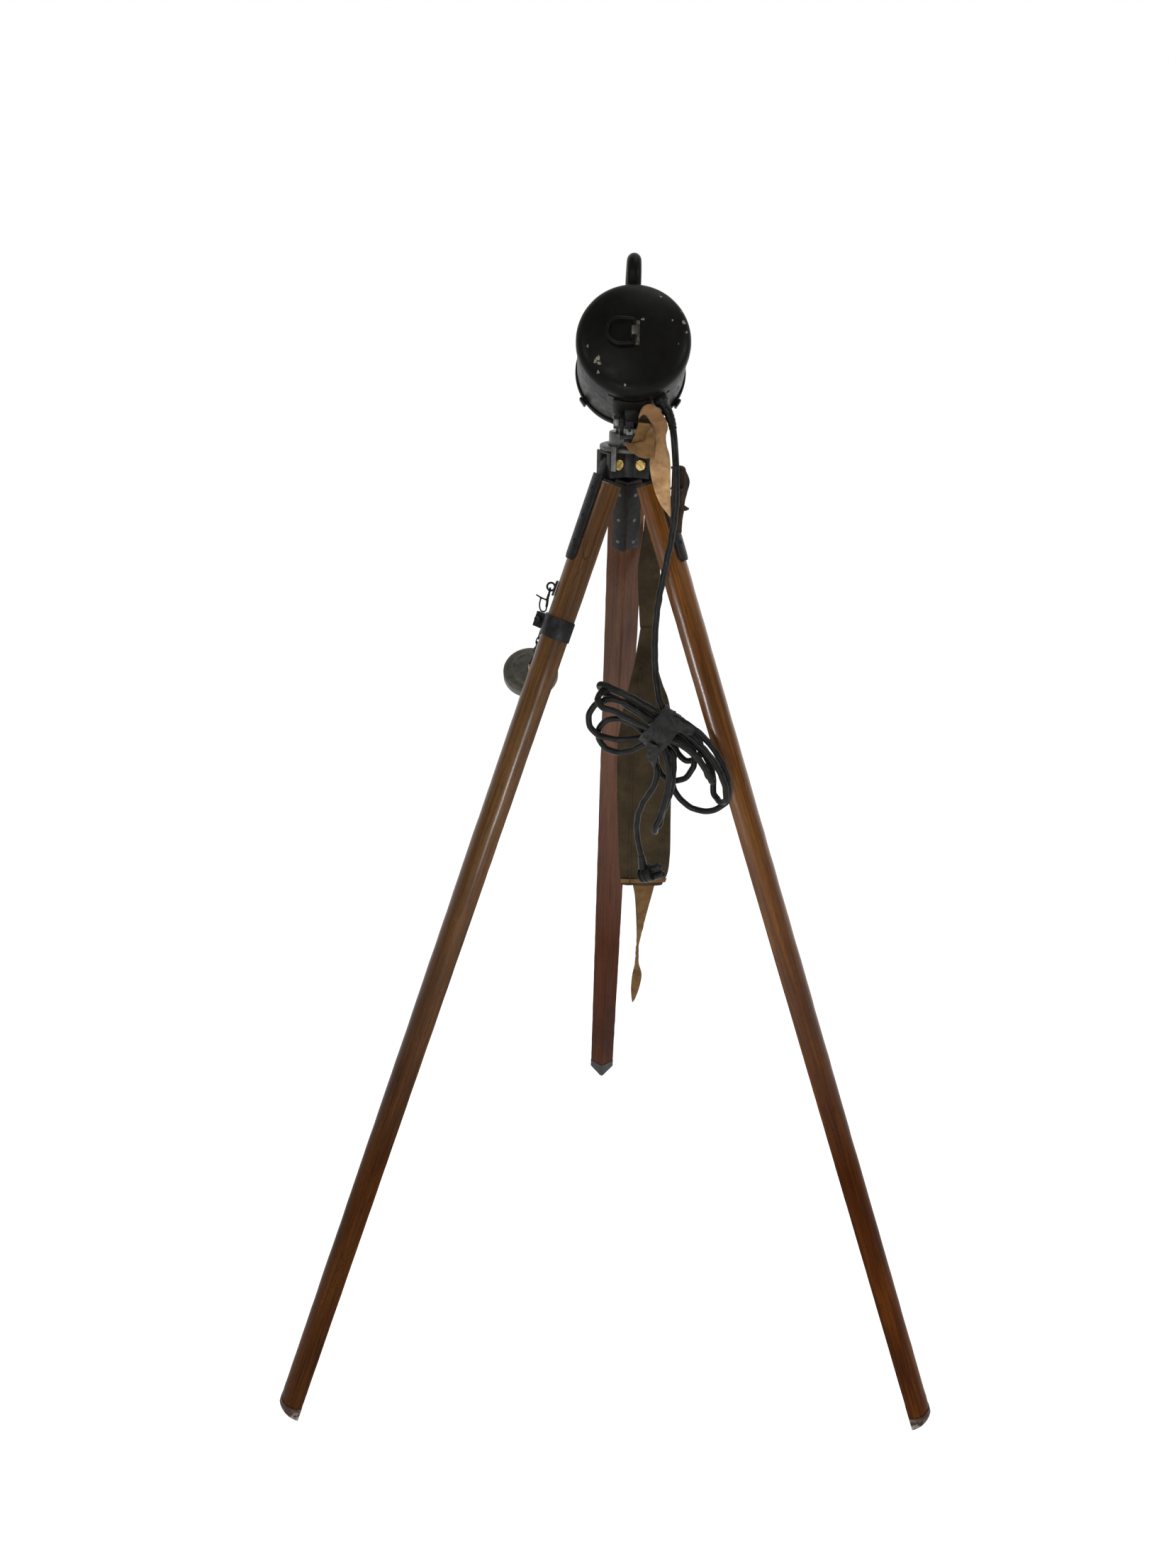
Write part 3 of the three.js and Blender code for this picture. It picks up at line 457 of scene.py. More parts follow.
def catmull_rom(a, b, c, d, t):
    """The point at t, from 0 to 1, between b and c on the curve through a, b, c and d."""
    return 0.5 * (2 * b + (c - a) * t + (2 * a - 5 * b + 4 * c - d) * t ** 2
                  + (3 * b - 3 * c + d - a) * t ** 3)


def with_ends(points):
    """The points as vectors, with one more at each end to steer a Catmull-Rom curve."""
    points = [Vector(p) for p in points]
    return [points[0] * 2 - points[1], *points, points[-1] * 2 - points[-2]]


def smooth_path(points, step):
    """Points `step` apart on a Catmull-Rom curve through given points."""
    points = with_ends(points)
    fine = [catmull_rom(*points[n:n + 4], k / 40) for n in range(len(points) - 3) for k in range(40)]
    fine.append(points[-2])
    total = sum((q - p).length for p, q in zip(fine, fine[1:]))
    count = max(2, round(total / step))
    even, travelled, wanted = [fine[0]], 0.0, total / count
    for p, q in zip(fine, fine[1:]):
        length = (q - p).length
        while length > 0 and travelled + length >= wanted - 1e-9 and len(even) < count:
            even.append(p.lerp(q, (wanted - travelled) / length))
            wanted += total / count
        travelled += length
    even.append(fine[-1])
    return even


def loft(rings, loop=False):
    """A skin over rings of as many points each, closed at its ends unless it is a loop."""
    bm = bmesh.new()
    rows = [[bm.verts.new(p) for p in ring] for ring in rings]
    count = len(rows[0])
    for low, high in zip(rows, rows[1:] + (rows[:1] if loop else [])):
        for k in range(count):
            bm.faces.new((low[k], low[(k + 1) % count], high[(k + 1) % count], high[k]))
    if not loop:
        bm.faces.new(rows[0][::-1])
        bm.faces.new(rows[-1])
    return bm


def revolve(profile, segments=96, loop=False):
    """A solid of revolution about Y from (radius, y) points."""
    bm = bmesh.new()
    rows = []
    for r, y in profile:
        if r < 1e-6:
            rows.append([bm.verts.new((0, y, 0))] * segments)
            continue
        turns = [2 * math.pi * k / segments for k in range(segments)]
        rows.append([bm.verts.new((r * math.cos(t), y, r * math.sin(t))) for t in turns])
    for low, high in zip(rows, rows[1:] + (rows[:1] if loop else [])):
        for k in range(segments):
            quad = [low[k], low[(k + 1) % segments], high[(k + 1) % segments], high[k]]
            corners = list(dict.fromkeys(quad))
            if len(corners) > 2:
                bm.faces.new(corners)
    return bm


def sweep(path, section, loop=False, up=UP):
    """A section of 2-D points carried along a path; `section` may be a function of 0 to 1."""
    path = [Vector(p) for p in path]
    count = len(path)
    rings, side = [], None
    for k, point in enumerate(path):
        if loop:
            tangent = (path[(k + 1) % count] - path[k - 1]).normalized()
        else:
            tangent = (path[min(k + 1, count - 1)] - path[max(k - 1, 0)]).normalized()
        side = (up.cross(tangent) if side is None else side - tangent * side.dot(tangent)).normalized()
        other = tangent.cross(side)
        outline = section(k / (count - 1)) if callable(section) else section
        rings.append([point + side * u + other * v for u, v in outline])
    return loft(rings, loop=loop)


def circle(radius, sides=16, squash=1.0):
    turns = [2 * math.pi * k / sides for k in range(sides)]
    return [(radius * math.cos(t), radius * squash * math.sin(t)) for t in turns]


def plate(outline, z0, z1):
    """An outline in XY, pushed up from z0 to z1."""
    return loft([[Vector((x, y, z)) for x, y in outline] for z in (z0, z1)])


def cuboid(low, high):
    (x0, y0, z0), (x1, y1, z1) = low, high
    return plate([(x0, y0), (x1, y0), (x1, y1), (x0, y1)], z0, z1)


def rod(radius, low, high, sides=32, round_off=0.6):
    """An upright rod with softened ends."""
    profile = soften([(0, low), (radius, low), (radius, high), (0, high)], round_off)
    bm = revolve(profile, sides)
    bmesh.ops.rotate(bm, verts=bm.verts, matrix=Matrix.Rotation(math.pi / 2, 3, "X"))
    return bm


def moved(bm, matrix):
    bmesh.ops.transform(bm, matrix=matrix, verts=bm.verts)
    return bm


def gathered(*solids):
    """Several bmeshes as one."""
    out = bmesh.new()
    for solid in solids:
        mesh = bpy.data.meshes.new("part")
        solid.to_mesh(mesh)
        solid.free()
        out.from_mesh(mesh)
        bpy.data.meshes.remove(mesh)
    return out


def evaluate(piece):
    """Applies a piece's modifiers."""
    graph = bpy.context.evaluated_depsgraph_get()
    mesh = bpy.data.meshes.new_from_object(piece.evaluated_get(graph))
    piece.modifiers.clear()
    old = piece.data
    piece.data = mesh
    bpy.data.meshes.remove(old)


def bevel(piece, width):
    """Rounds a piece's edges by `width` millimetres."""
    modifier = piece.modifiers.new("edges", "BEVEL")
    modifier.width = width / 1000
    modifier.segments = 2
    modifier.limit_method = "ANGLE"
    modifier.angle_limit = math.radians(35)
    modifier.use_clamp_overlap = True
    evaluate(piece)


def shade_smooth(piece, angle):
    for face in piece.data.polygons:
        face.use_smooth = True
    piece.data.set_sharp_from_angle(angle=math.radians(angle))


def carve(piece, *tools):
    """Cuts tools, given as bmeshes in the model's metres, out of a piece."""
    for tool in tools:
        mesh = bpy.data.meshes.new("tool")
        bmesh.ops.recalc_face_normals(tool, faces=tool.faces)
        tool.to_mesh(mesh)
        tool.free()
        cutter = bpy.data.objects.new("tool", mesh)
        scene.collection.objects.link(cutter)
        modifier = piece.modifiers.new("cut", "BOOLEAN")
        modifier.operation = "DIFFERENCE"
        modifier.solver = "EXACT"
        modifier.object = cutter
        evaluate(piece)
        bpy.data.objects.remove(cutter)


def add(name, bm, place, body, slot, material=None, stands_for=(), edge=0.0, smooth=40, ride=True,
        cuts=()):
    """Makes a piece from a bmesh in local millimetres."""
    moved(bm, place)
    bmesh.ops.recalc_face_normals(bm, faces=bm.faces)
    mesh = bpy.data.meshes.new(name)
    bm.to_mesh(mesh)
    bm.free()
    piece = bpy.data.objects.new(name, mesh)
    scene.collection.objects.link(piece)
    carve(piece, *cuts)
    if edge:
        bevel(piece, edge)
    shade_smooth(piece, smooth)
    piece.data.materials.clear()
    piece.data.materials.append(MATERIALS[material or slot])
    if ride:
        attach(piece, body)
    if stands_for:
        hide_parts(*stands_for)
    return piece


def reworked(node, body, slot, edge, material=None):
    """A CAD node's own shape with softened edges, in its place."""
    bm = bmesh.new()
    bm.from_mesh(frame["nodes"][node].data)
    bmesh.ops.remove_doubles(bm, verts=bm.verts, dist=1e-6)
    bmesh.ops.dissolve_limit(bm, angle_limit=math.radians(1), verts=bm.verts, edges=bm.edges)
    add(f"{node}_worn", bm, Matrix.Identity(4), body, slot, material, (node,), edge)


def lens_turn(bm, degrees):
    return moved(bm, Matrix.Rotation(math.radians(degrees), 4, "Y"))


# ---------------------------------------------------------------- lamp
def vent(degrees, y):
    """A drill through the drum's wall, `degrees` round from the bottom."""
    drill = moved(rod(2.6, -70, -50, 20, 0), Matrix.Translation((0, y, 0)))
    return moved(lens_turn(drill, -degrees), LAMP)


def make_lamp():
    slot = moved(lens_turn(cuboid((-8.5, -24, -70), (8.5, -20.5, -50)), 17.5), LAMP)
    shell = soften([(59.5, -36), (61, -36), (61, 47), (59.5, 47)], 0.4, loop=True)
    add("drum", revolve(shell, 128, loop=True), LAMP, "lamp", "lamp_paint", "drum_paint", ("drum_shell",),
        cuts=[slot, vent(-23, -14), vent(40, -13), vent(58, 9), vent(58, 22)])

    bezel = soften([(61.3, 41), (62.6, 41), (63.3, 43), (63.4, 46), (62.2, 50.2), (55, 50.4), (54.5, 49.2),
                    (60, 49), (60, 47.3), (61.3, 47.3)], 0.8, loop=True)
    add("bezel", revolve(bezel, 128, loop=True), LAMP, "lamp", "lamp_paint", "drum_paint", ("front_bezel",))
    turns = [math.pi / 2 * (1 - k / 12) for k in range(13)]
    bulging = [(58.8 * math.sin(t), 48.6 + 3.6 * math.cos(t)) for t in turns]
    add("front_lens", revolve([(0, 45), (58.8, 45), *bulging]), LAMP, "lamp", "clear_glass",
        stands_for=("lens",))
    radii = [14 + 43 * k / 24 for k in range(25)]
    front = [(r, r * r / 80 - 2) for r in radii]
    back = [(r + 0.6, r * r / 80 - 3.3) for r in radii]
    add("bowl", revolve(front + back[::-1], loop=True), LAMP, "lamp", "silvered", stands_for=("reflector",))
    glass = smooth_path([(8, -1, 0), (8.6, 3, 0), (13, 11, 0), (16.8, 21, 0), (15.4, 29, 0), (9.5, 36, 0),
                         (0.01, 39, 0)], 1.5)
    add("bulb_glass", revolve([(0, -1), *[(p.x, p.y) for p in glass[:-1]], (0, 39)], 48), LAMP, "lamp",
        "clear_glass", stands_for=("bulb",))
    reworked("lamp_holder", "lamp", "black_steel", 0.5)

    cap = [(61.3, -27.3), (61.3, -36.5), (58.6, -41.2), (53, -44), (30, -48.5), (0, -50.3)]
    outside = [(0, -52), (15, -51.6), (30, -50.2), (43, -47.8), (52, -45.4), (57.5, -42.6), (61, -38.6),
               (62.3, -34), (62.3, -29), (62.6, -28.2), (62.3, -27.3)]
    rounded = [(p.x, p.y) for p in smooth_path([(r, y, 0) for r, y in outside], 1.2)]
    add("back_cap", revolve(rounded + cap, 160), LAMP, "rear_cap", "lamp_paint", stands_for=("rear_cap",))


def make_cap_fittings():
    ring_y = -57.8
    lug = gathered(cuboid((0.8, -54.6, -13), (5.6, -51.4, 13)),
                   cuboid((-3.2, ring_y - 3, -4.8), (3.4, -51.6, 4.8)))
    for z in (-9.5, 9.5):
        screw = moved(rod(2.6, -54, -50, 20), Matrix.Rotation(math.pi / 2, 4, "X"))
        lug = gathered(lug, moved(screw, Matrix.Translation((3.2, -107.2, z))))
    add("ring_plate", lug, LAMP, "rear_cap", "brass", "ring_brass", ("ring_lug",), edge=0.5)
    arc = [(-15 + 14 * math.cos(t), ring_y, 14 * math.sin(t)) for t in
           [math.pi / 2 + math.pi * k / 14 for k in range(15)]]
    path = smooth_path([(0, ring_y, 9), (-2, ring_y, 13), *arc, (-2, ring_y, -13), (0, ring_y, -9)], 1.2)
    bar = [(0, ring_y, -9 + 18 * k / 8) for k in range(1, 8)]
    ring = sweep(path + bar, circle(1.9, 14), loop=True)
    add("finger_ring", ring, LAMP, "pull_ring", "black_steel", "lamp_paint", ("pull_ring",))


def make_handle():
    top = 101
    rear = [(0, -17, 58), (0, -20, 68), (0, -25, 80), (0, -24.5, 92), (0, -18, 99), (0, -8, top)]
    front = [(0, 5, top), (0, 17, 100), (0, 25.5, 94), (0, 29.5, 84), (0, 30, 70), (0, 30, 58)]
    path = smooth_path(rear + front, 1.8)

    def flared(t):
        ends = min(t, 1 - t)
        return circle(8 + 3.4 * max(0, 1 - ends / 0.1) ** 2, 28)

    drum = moved(revolve([(0, -90), (61.15, -90), (61.15, 90), (0, 90)], 128), LAMP)
    add("handle", sweep(path, flared, up=RIGHT), LAMP, "lamp", "lamp_paint", stands_for=("carry_handle",),
        cuts=[drum])


def make_lamp_fittings():
    reworked("saddle_bracket", "lamp", "black_steel", 0.6, "drum_paint")
    reworked("bezel_clip_left", "lamp", "black_steel", 0.5)
    reworked("bezel_clip_right", "lamp", "black_steel", 0.5)
    taper = soften([(0, -75), (4.6, -75), (5.2, -70.5), (6.4, -68.5), (8.2, -67.6), (8.2, -61.3),
                    (0, -61.3)], 0.7)
    gland = moved(revolve(taper, 40), Matrix.Rotation(math.pi / 2, 4, "X"))
    drum = moved(revolve([(0, -90), (61.25, -90), (61.25, 90), (0, 90)], 128), LAMP)
    add("gland", gland, GLAND, "lamp", "black_steel", stands_for=("cord_gland",), cuts=[drum])


# ---------------------------------------------------------------- swivel and head
def make_swivel():
    reworked("swivel_fork", "swivel", "black_steel", 0.6)
    reworked("tilt_bolt", "swivel", "grey_steel", 0.5)
    reworked("clamp_screw", "swivel", "black_steel", 0.3)
    nut = plate(circle(6.6, 6), 0, 6.1)
    place = TRIPOD @ Matrix.Translation((-2, -53, HINGE_Z + 37.6))
    bore = moved(rod(4.8, -5, 20, 24, 0), place)
    slot = moved(cuboid((-1.5, -20, 3.4), (1.5, 20, 20)), place)
    add("slotted_nut", nut, place, "clamp_nut", "bright_steel", "grey_steel", ("clamp_nut",), 0.5,
        cuts=[bore, slot])


def make_head():
    reworked("head_block", "head", "black_steel", 1.2)
    reworked("head_socket", "head", "grey_steel", 1.0)
    reworked("clamp_ring", "clamp_ring", "olive_paint", 0.9)
    reworked("lock_lever", "clamp_ring", "grey_steel", 0.5)
    head = [(0, 18.8), (5.2, 18.8), (6.3, 17.8), (6.3, 15.3), (4, 15.3)]
    shank = soften([(r, -y) for r, y in head] + head[::-1], 0.3, 2)
    for side, place in LEGS.items():
        hinge = Vector(JOINTS[f"leg_{side}_fold"]["axis"]).normalized()
        upright = placed(place.translation, hinge.cross(UP).normalized(), hinge, UP)
        bolt = revolve(shank, 40)
        slots = [moved(lens_turn(cuboid((-9, y - 0.8, -0.55), (9, y + 0.8, 0.55)), 40), upright)
                 for y in (-19, 19)]
        add(f"bolt_{side}", bolt, upright, "head", "brass", stands_for=(f"hinge_bolt_{side}",), cuts=slots)


# ---------------------------------------------------------------- legs
def on_arc(radius, t):
    """A point on a round about the middle of the leg's half round."""
    return (ARC_X + radius * math.cos(t), radius * math.sin(t))


def leg_outline(corner):
    """The leg's section: a half round outside and two flat faces inside, with a soft corner."""
    low, high = (ARC_X, -LEG_RADIUS), (ARC_X, LEG_RADIUS)
    steps = 26
    arc = [on_arc(LEG_RADIUS, math.pi * (k / steps - 0.5)) for k in range(1, steps)]
    inside = soften([high, (APEX_X, 0), low], corner, 4)[1:-1]
    return [tuple(p) for p in inside] + [low, *arc, high]


def make_leg(side, wood):
    place = LEGS[side]
    body = f"leg_{side}"
    top, bottom = -22.8, -(LEG_LENGTH - 40)
    outline = leg_outline(2.2)
    middle_x = -8
    rings = []
    count = 90
    for k in range(count + 1):
        t = k / count
        z = top + (bottom - top) * t
        pinch = 0.35 if k in (0, count) else 0.0
        ring = []
        for x, y in outline:
            bump = noise.noise(Vector((x, y, z)) * 0.045 + Vector((len(side) * 7, 0, 0))) * 0.45
            recess = 1.0 if z > -113 and x < -11 else 0.0  # the inner plates lie flush
            away = Vector((x - middle_x, y)).normalized() * (bump - 0.45 - pinch - recess)
            ring.append(Vector((x + away.x, y + away.y, z)))
        rings.append(ring)
    add(f"wood_{side}", loft(rings), place, body, wood, stands_for=(body,), smooth=50)
    reworked(f"{body}_tongue", body, "black_steel", 0.5)
    make_leg_irons(side, place, body)
    make_shoe(side, place, body)


def make_leg_irons(side, place, body):
    """The strap on the round face and the plates on the two inner faces, with their rivets."""
    strap = []
    for k in range(41):
        z = -16.5 - 101 * k / 40
        width = 24 if z > -112 else 24 * max(0.3, (z + 118) / 6) ** 0.4
        turns = [math.radians(width * (j / 12 * 2 - 1)) for j in range(13)]
        section = [on_arc(24.6, t) for t in turns] + [on_arc(21.6, t) for t in reversed(turns)]
        strap.append([Vector((x, y, z)) for x, y in section])
    outward = Matrix.Rotation(math.pi / 2, 4, "Y")
    rivets = [moved(dome(3.1, 1.4), Matrix.Translation((ARC_X + 24.4, 0, z)) @ outward)
              for z in (-34, -66, -96)]
    add(f"strap_{side}", gathered(loft(strap), *rivets), place, body, "black_steel",
        stands_for=(f"{body}_outer_strap",), edge=0.5)

    plates, rivets = [], []
    for sign, bottom, reach in ((-1, -116, 19), (1, -118, 17)):
        face = Vector((0.5, sign * math.sin(math.radians(60)), 0))
        normal = Vector((-math.sin(math.radians(60)), sign * 0.5, 0))
        base = Vector((APEX_X, 0, 0)) + face * 1.2
        corners = [(0, -24), (reach, -24), (reach, bottom), (0, bottom)]
        rim = soften(corners, 1.2, 3, loop=True)
        rings = [[base + face * s + normal * d + Vector((0, 0, z)) for s, z in rim] for d in (-2.4, -0.3)]
        plates.append(loft(rings))
        turn = normal.to_track_quat("Z", "Y").to_matrix().to_4x4()
        for z in (-40, -75, -106):
            spot = base + face * (reach * 0.55) - normal * 0.6 + Vector((0, 0, z))
            rivets.append(moved(dome(2.8, 0.5), Matrix.Translation(spot) @ turn))
    add(f"inner_plates_{side}", gathered(*plates), place, body, "black_steel",
        stands_for=(f"{body}_inner_strap",), edge=0.4)
    add(f"inner_rivets_{side}", gathered(*rivets), place, body, "black_steel", "grey_steel")


def dome(radius, height):
    """A rivet's head, standing on z = 0."""
    turns = [math.pi / 2 * k / 5 for k in range(1, 6)]
    cap = [(radius * math.sin(t), height * math.cos(t)) for t in turns]
    profile = [(0, height), *cap, (radius, -0.8), (0, -0.8)]
    return moved(revolve(profile, 20), Matrix.Rotation(math.pi / 2, 4, "X"))


def make_shoe(side, place, body):
    """A steel shoe that runs on from the wood and closes to a point on the inner edge."""
    nose = [(0, 0), (2.8, 0.3), (9.3, 6), (20, 15), (29, 23), (33.6, 29), (36, 36), (37, 42)]
    curve = [(p.x, p.y) for p in smooth_path([(r, h, 0) for r, h in nose], 1.0)]
    outline = leg_outline(1.5)

    def reach(height):
        for (r0, h0), (r1, h1) in zip(curve, curve[1:]):
            if h0 <= height <= h1:
                return r0 + (r1 - r0) * (height - h0) / max(1e-6, h1 - h0)
        return 40.0

    heights = [1.6 + 38.0 * (k / 44) ** 1.15 for k in range(45)]
    rings = []
    for height in heights:
        limit = reach(height)
        ring = []
        for x, y in outline:
            away = Vector((x - APEX_X, y))
            if away.length > limit:
                away = away.normalized() * limit
            ring.append(Vector((APEX_X + away.x, away.y, height - LEG_LENGTH)))
        rings.append(ring)
    floor = moved(cuboid((-900, -900, -60), (900, 900, 0.0)), MILLI)
    material = "shoe_iron" if side != "rear" else "black_steel"
    add(f"shoe_{side}", loft(rings), place, body, "black_steel", material, (f"{body}_shoe",), smooth=50,
        cuts=[floor])


# ---------------------------------------------------------------- what hangs on the left leg
def smoothed(node, body, slot):
    """A CAD node's own shape, rounded by subdivision, in its place."""
    bm = bmesh.new()
    bm.from_mesh(frame["nodes"][node].data)
    bmesh.ops.remove_doubles(bm, verts=bm.verts, dist=1e-6)
    piece = add(f"{node}_round", bm, Matrix.Identity(4), body, slot, stands_for=(node,), smooth=60)
    modifier = piece.modifiers.new("round", "SUBSURF")
    modifier.levels = 1
    evaluate(piece)


def make_left_leg_fittings():
    reworked("leg_collar", "leg_left", "black_steel", 0.7)
    reworked("collar_bolt", "leg_left", "grey_steel", 0.5, "black_steel")
    reworked("strap_staple", "leg_left", "grey_steel", 0.3, "black_steel")
    smoothed("snap_hook", "snap_hook", "black_steel")


def make_dust_cap():
    lean = Matrix.Rotation(math.radians(35), 4, "X")
    place = TRIPOD @ Matrix.Translation((-114, 1, HINGE_Z - 255)) @ lean
    upright = place @ Matrix.Rotation(math.pi / 2, 4, "X")
    outline = [(0, -2), (28, -3), (31.8, -4.5), (31.8, -14), (33.4, -14.6), (34.2, -13.4), (34.2, -3.9),
               (33.2, -1.4), (30, 0), (24.2, 0.6), (23.4, 1.7), (22.2, 2), (21, 1.6), (20.2, 0.7),
               (12, 1.3), (0, 1.6)]
    profile = [tuple(p) for p in soften(outline, 1.0)]
    add("cap_dish", revolve(profile, 112), upright, "dust_cap", "olive_paint", stands_for=("dust_cap",))
    arch = [(-1.5, y, z) for y, z in ((-5, 0.5), (-4.6, 4), (0, 6.4), (4.6, 4), (5, 0.5))]
    staple = sweep(smooth_path(arch, 0.7), circle(1.1, 12), up=RIGHT)
    add("cap_staple", staple, place, "dust_cap", "brass")

    top = Vector((-98, -19, HINGE_Z - 196))
    end = TRIPOD.inverted() @ (place @ Vector((-1.5, 0, 5.5)))
    sag = [top.lerp(end, 0.35) + Vector((-1, 0, -1)), top.lerp(end, 0.7) + Vector((1, 1, -3))]
    route = smooth_path([top, *sag, end], 1.0)
    pitch = 7.6
    links = []
    total = len(route) - 1
    span = sum((b - a).length for a, b in zip(route, route[1:]))
    number = max(2, round(span / pitch))
    for k in range(number):
        spot = (k + 0.5) / number * total
        here = route[int(spot)].lerp(route[min(int(spot) + 1, total)], spot % 1)
        way = (route[min(int(spot) + 3, total)] - route[max(int(spot) - 3, 0)]).normalized()
        half = span / number / 2 + 1.5
        oval = [(1.9 * math.cos(t), 0, half * math.sin(t)) for t in [math.pi * j / 10 for j in range(20)]]
        link = sweep(oval, circle(0.85, 10), loop=True, up=Vector((0, 1, 0)))
        down_chain = way.to_track_quat("Z", "Y").to_matrix().to_4x4()
        crossed = Matrix.Rotation(math.pi / 2 * (k % 2) + 0.5, 4, "Z")
        links.append(moved(link, Matrix.Translation(here) @ down_chain @ crossed))
    add("cap_links", gathered(*links), TRIPOD, "dust_cap", "black_steel", stands_for=("cap_chain",))


# ---------------------------------------------------------------- leather sling
def curve(points, count):
    """count + 1 points evenly spread in parameter on a Catmull-Rom curve."""
    points = with_ends(points)
    out = []
    for k in range(count + 1):
        at = k / count * (len(points) - 3)
        n = min(int(at), len(points) - 4)
        out.append(catmull_rom(*points[n:n + 4], at - n))
    return out


def ribbon(rows, thickness, crumple=0.0, grain=12.0, seed=0.0, across=14, along=90):
    """A strap between a left and a right edge, given as rows of two 3-D points, with soft creases."""
    left = curve([row[0] for row in rows], along)
    right = curve([row[1] for row in rows], along)
    grid = [[a.lerp(b, j / across) for j in range(across + 1)] for a, b in zip(left, right)]
    rings = []
    for i, row in enumerate(grid):
        ahead, behind = grid[min(i + 1, along)], grid[max(i - 1, 0)]
        front, back = [], []
        for j, p in enumerate(row):
            side = row[min(j + 1, across)] - row[max(j - 1, 0)]
            normal = side.cross(ahead[j] - behind[j])
            normal = normal.normalized() if normal.length > 1e-9 else Vector((0, -1, 0))
            spot = p / grain + Vector((seed, seed * 0.7, 0))
            fold = (1 - abs(noise.noise(spot)) * 3) * crumple + noise.noise(spot * 3) * crumple * 0.3
            edge = 1 - 0.55 * abs(2 * j / across - 1) ** 8
            front.append(p + normal * (fold + thickness / 2 * edge))
            back.append(p + normal * (fold - thickness / 2 * edge))
        rings.append(front + back[::-1])
    return loft(rings)


def flat_rows(pairs, y):
    """Rows of a left and a right (x, z) in the plane at y."""
    return [[(x0, y, z0), (x1, y, z1)] for (x0, z0), (x1, z1) in pairs]


def leaning_back(rows):
    """Rows whose part above the head tips away from the viewer, towards the tilt bolt."""
    return [[(x, y + max(0, z - 1330) * 0.28, z) for x, y, z in row] for row in rows]


def sling_piece(name, solid, body, material, *stands_for, slot="olive_leather", ride=True):
    return add(name, solid, TRIPOD, body, slot, material, stands_for, ride=ride)


def make_front_strap():
    """The strap over the tilt bolt, its flap and its buckle, all on the swivel."""
    front = [((46, 1247.6), (46.5, 1248.2)), ((42, 1252), (46.4, 1256)), ((35.5, 1260), (45.8, 1264)),
             ((30, 1270), (45.2, 1274)), ((26.6, 1279), (44.8, 1284)), ((23, 1291.9), (44.2, 1294)),
             ((20.9, 1306.7), (43.6, 1306)), ((24, 1316), (42, 1316)), ((25.8, 1326), (38.8, 1325)),
             ((25.5, 1336), (37.6, 1335)), ((24, 1343), (39.4, 1343)), ((21.9, 1346.5), (37, 1351)),
             ((20, 1349), (33, 1357)), ((17.5, 1352.5), (27, 1363.5)), ((15, 1355.5), (20, 1366.8)),
             ((12.5, 1356), (13.5, 1365.3)), ((10, 1354.5), (9.5, 1360.5)), ((8, 1352), (7, 1354))]
    rows = leaning_back(flat_rows(front, -60.5))
    hanging = sling_piece("leather_front", ribbon(rows, 3.2, 1.5, 11, 3.1, 18, 150), "swivel",
                          "tan_leather", "sling_front", slot="tan_leather")

    over = [[(20, y, z), (34, y + 1, z - 1)] for y, z in
            [(-52, 1349), (-44, 1353), (-34, 1353.5), (-22, 1348), (-8, 1342), (6, 1335), (18, 1326),
             (29, 1314), (35, 1303)]]
    sling_piece("leather_over_bolt", ribbon(over, 3.4, 0.7, 14, 1.0), "swivel", "tan_leather",
                "sling_loop", slot="tan_leather")
    inside = [((7, 1349), (19, 1348)), ((5, 1342), (20, 1342)), ((3, 1335), (22, 1335)),
              ((0, 1328), (23, 1328)), ((-3, 1322), (23, 1320))]
    sling_piece("leather_inside", ribbon(flat_rows(inside, -62.2), 2, 0.9, 9, 6.0), "swivel",
                "flap_leather", slot="tan_leather")
    # A dark sheet across the loop's opening, behind the front strap: painted shade standing for the shadowed
    # inside of the strap over the bolt.
    opening = [((8, 1356), (14, 1361)), ((7, 1350), (20, 1353)), ((7, 1344), (20, 1345))]
    shade_sheet = sling_piece("leather_shade_sheet", ribbon(flat_rows(opening, -50), 2, 0.5, 9, 7.0), "swivel",
                         "dark_leather", slot="tan_leather")
    for piece in (hanging, shade_sheet):  # each gets a mesh of its own; the drum presses on these pieces
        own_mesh(piece)

    flap = [((20.2, 1345.4), (22.7, 1343.7)), ((16.4, 1338.8), (24.2, 1336)),
            ((15.2, 1333), (24.8, 1329.3)), ((13.3, 1330.2), (25.6, 1321)),
            ((10.5, 1329.4), (24.9, 1313.7)), ((6.4, 1328.9), (17, 1312)), ((2.5, 1327.4), (9.5, 1313.2)),
            ((-2, 1328), (4, 1316.4)), ((-5.5, 1328.8), (-0.5, 1319)), ((-7.5, 1328.7), (-4.5, 1322.5))]
    sling_piece("leather_flap", ribbon(flat_rows(flap, -66.5), 2.8, 0.8, 13, 9.0), "swivel",
                "flap_leather", "sling_flap")

    behind = [((46, 1303), (57.5, 1303)), ((46, 1295), (62, 1297)), ((46, 1287), (66, 1287)),
              ((46, 1276), (64, 1275)), ((46, 1266), (62, 1265)), ((47, 1257), (61.5, 1256)),
              ((48, 1248), (60.5, 1248)), ((48.5, 1239), (60, 1239)), ((49, 1230), (60, 1230))]
    strap = ribbon(flat_rows(behind, -60), 4, 0.7, 12, 2.0)
    point = [((58, 1262), (60, 1254)), ((62, 1260), (63, 1254)), ((67, 1257), (67, 1255.5))]
    tongue = ribbon(flat_rows(point, -58), 2, 0.4, 8, 5.0, 6, 30)
    buckle = [(44.5, -63.5, 1302), (52, -64.5, 1303.5), (59, -63, 1301), (60, -63, 1290),
              (59, -63.5, 1280), (52, -64.5, 1278.5), (45, -63.5, 1280)]
    bar = sweep(smooth_path(buckle, 1), circle(1.5, 12))
    sling_piece("leather_behind", gathered(strap, tongue, bar), "swivel", "dark_leather",
                "sling_buckle", slot="dark_leather")


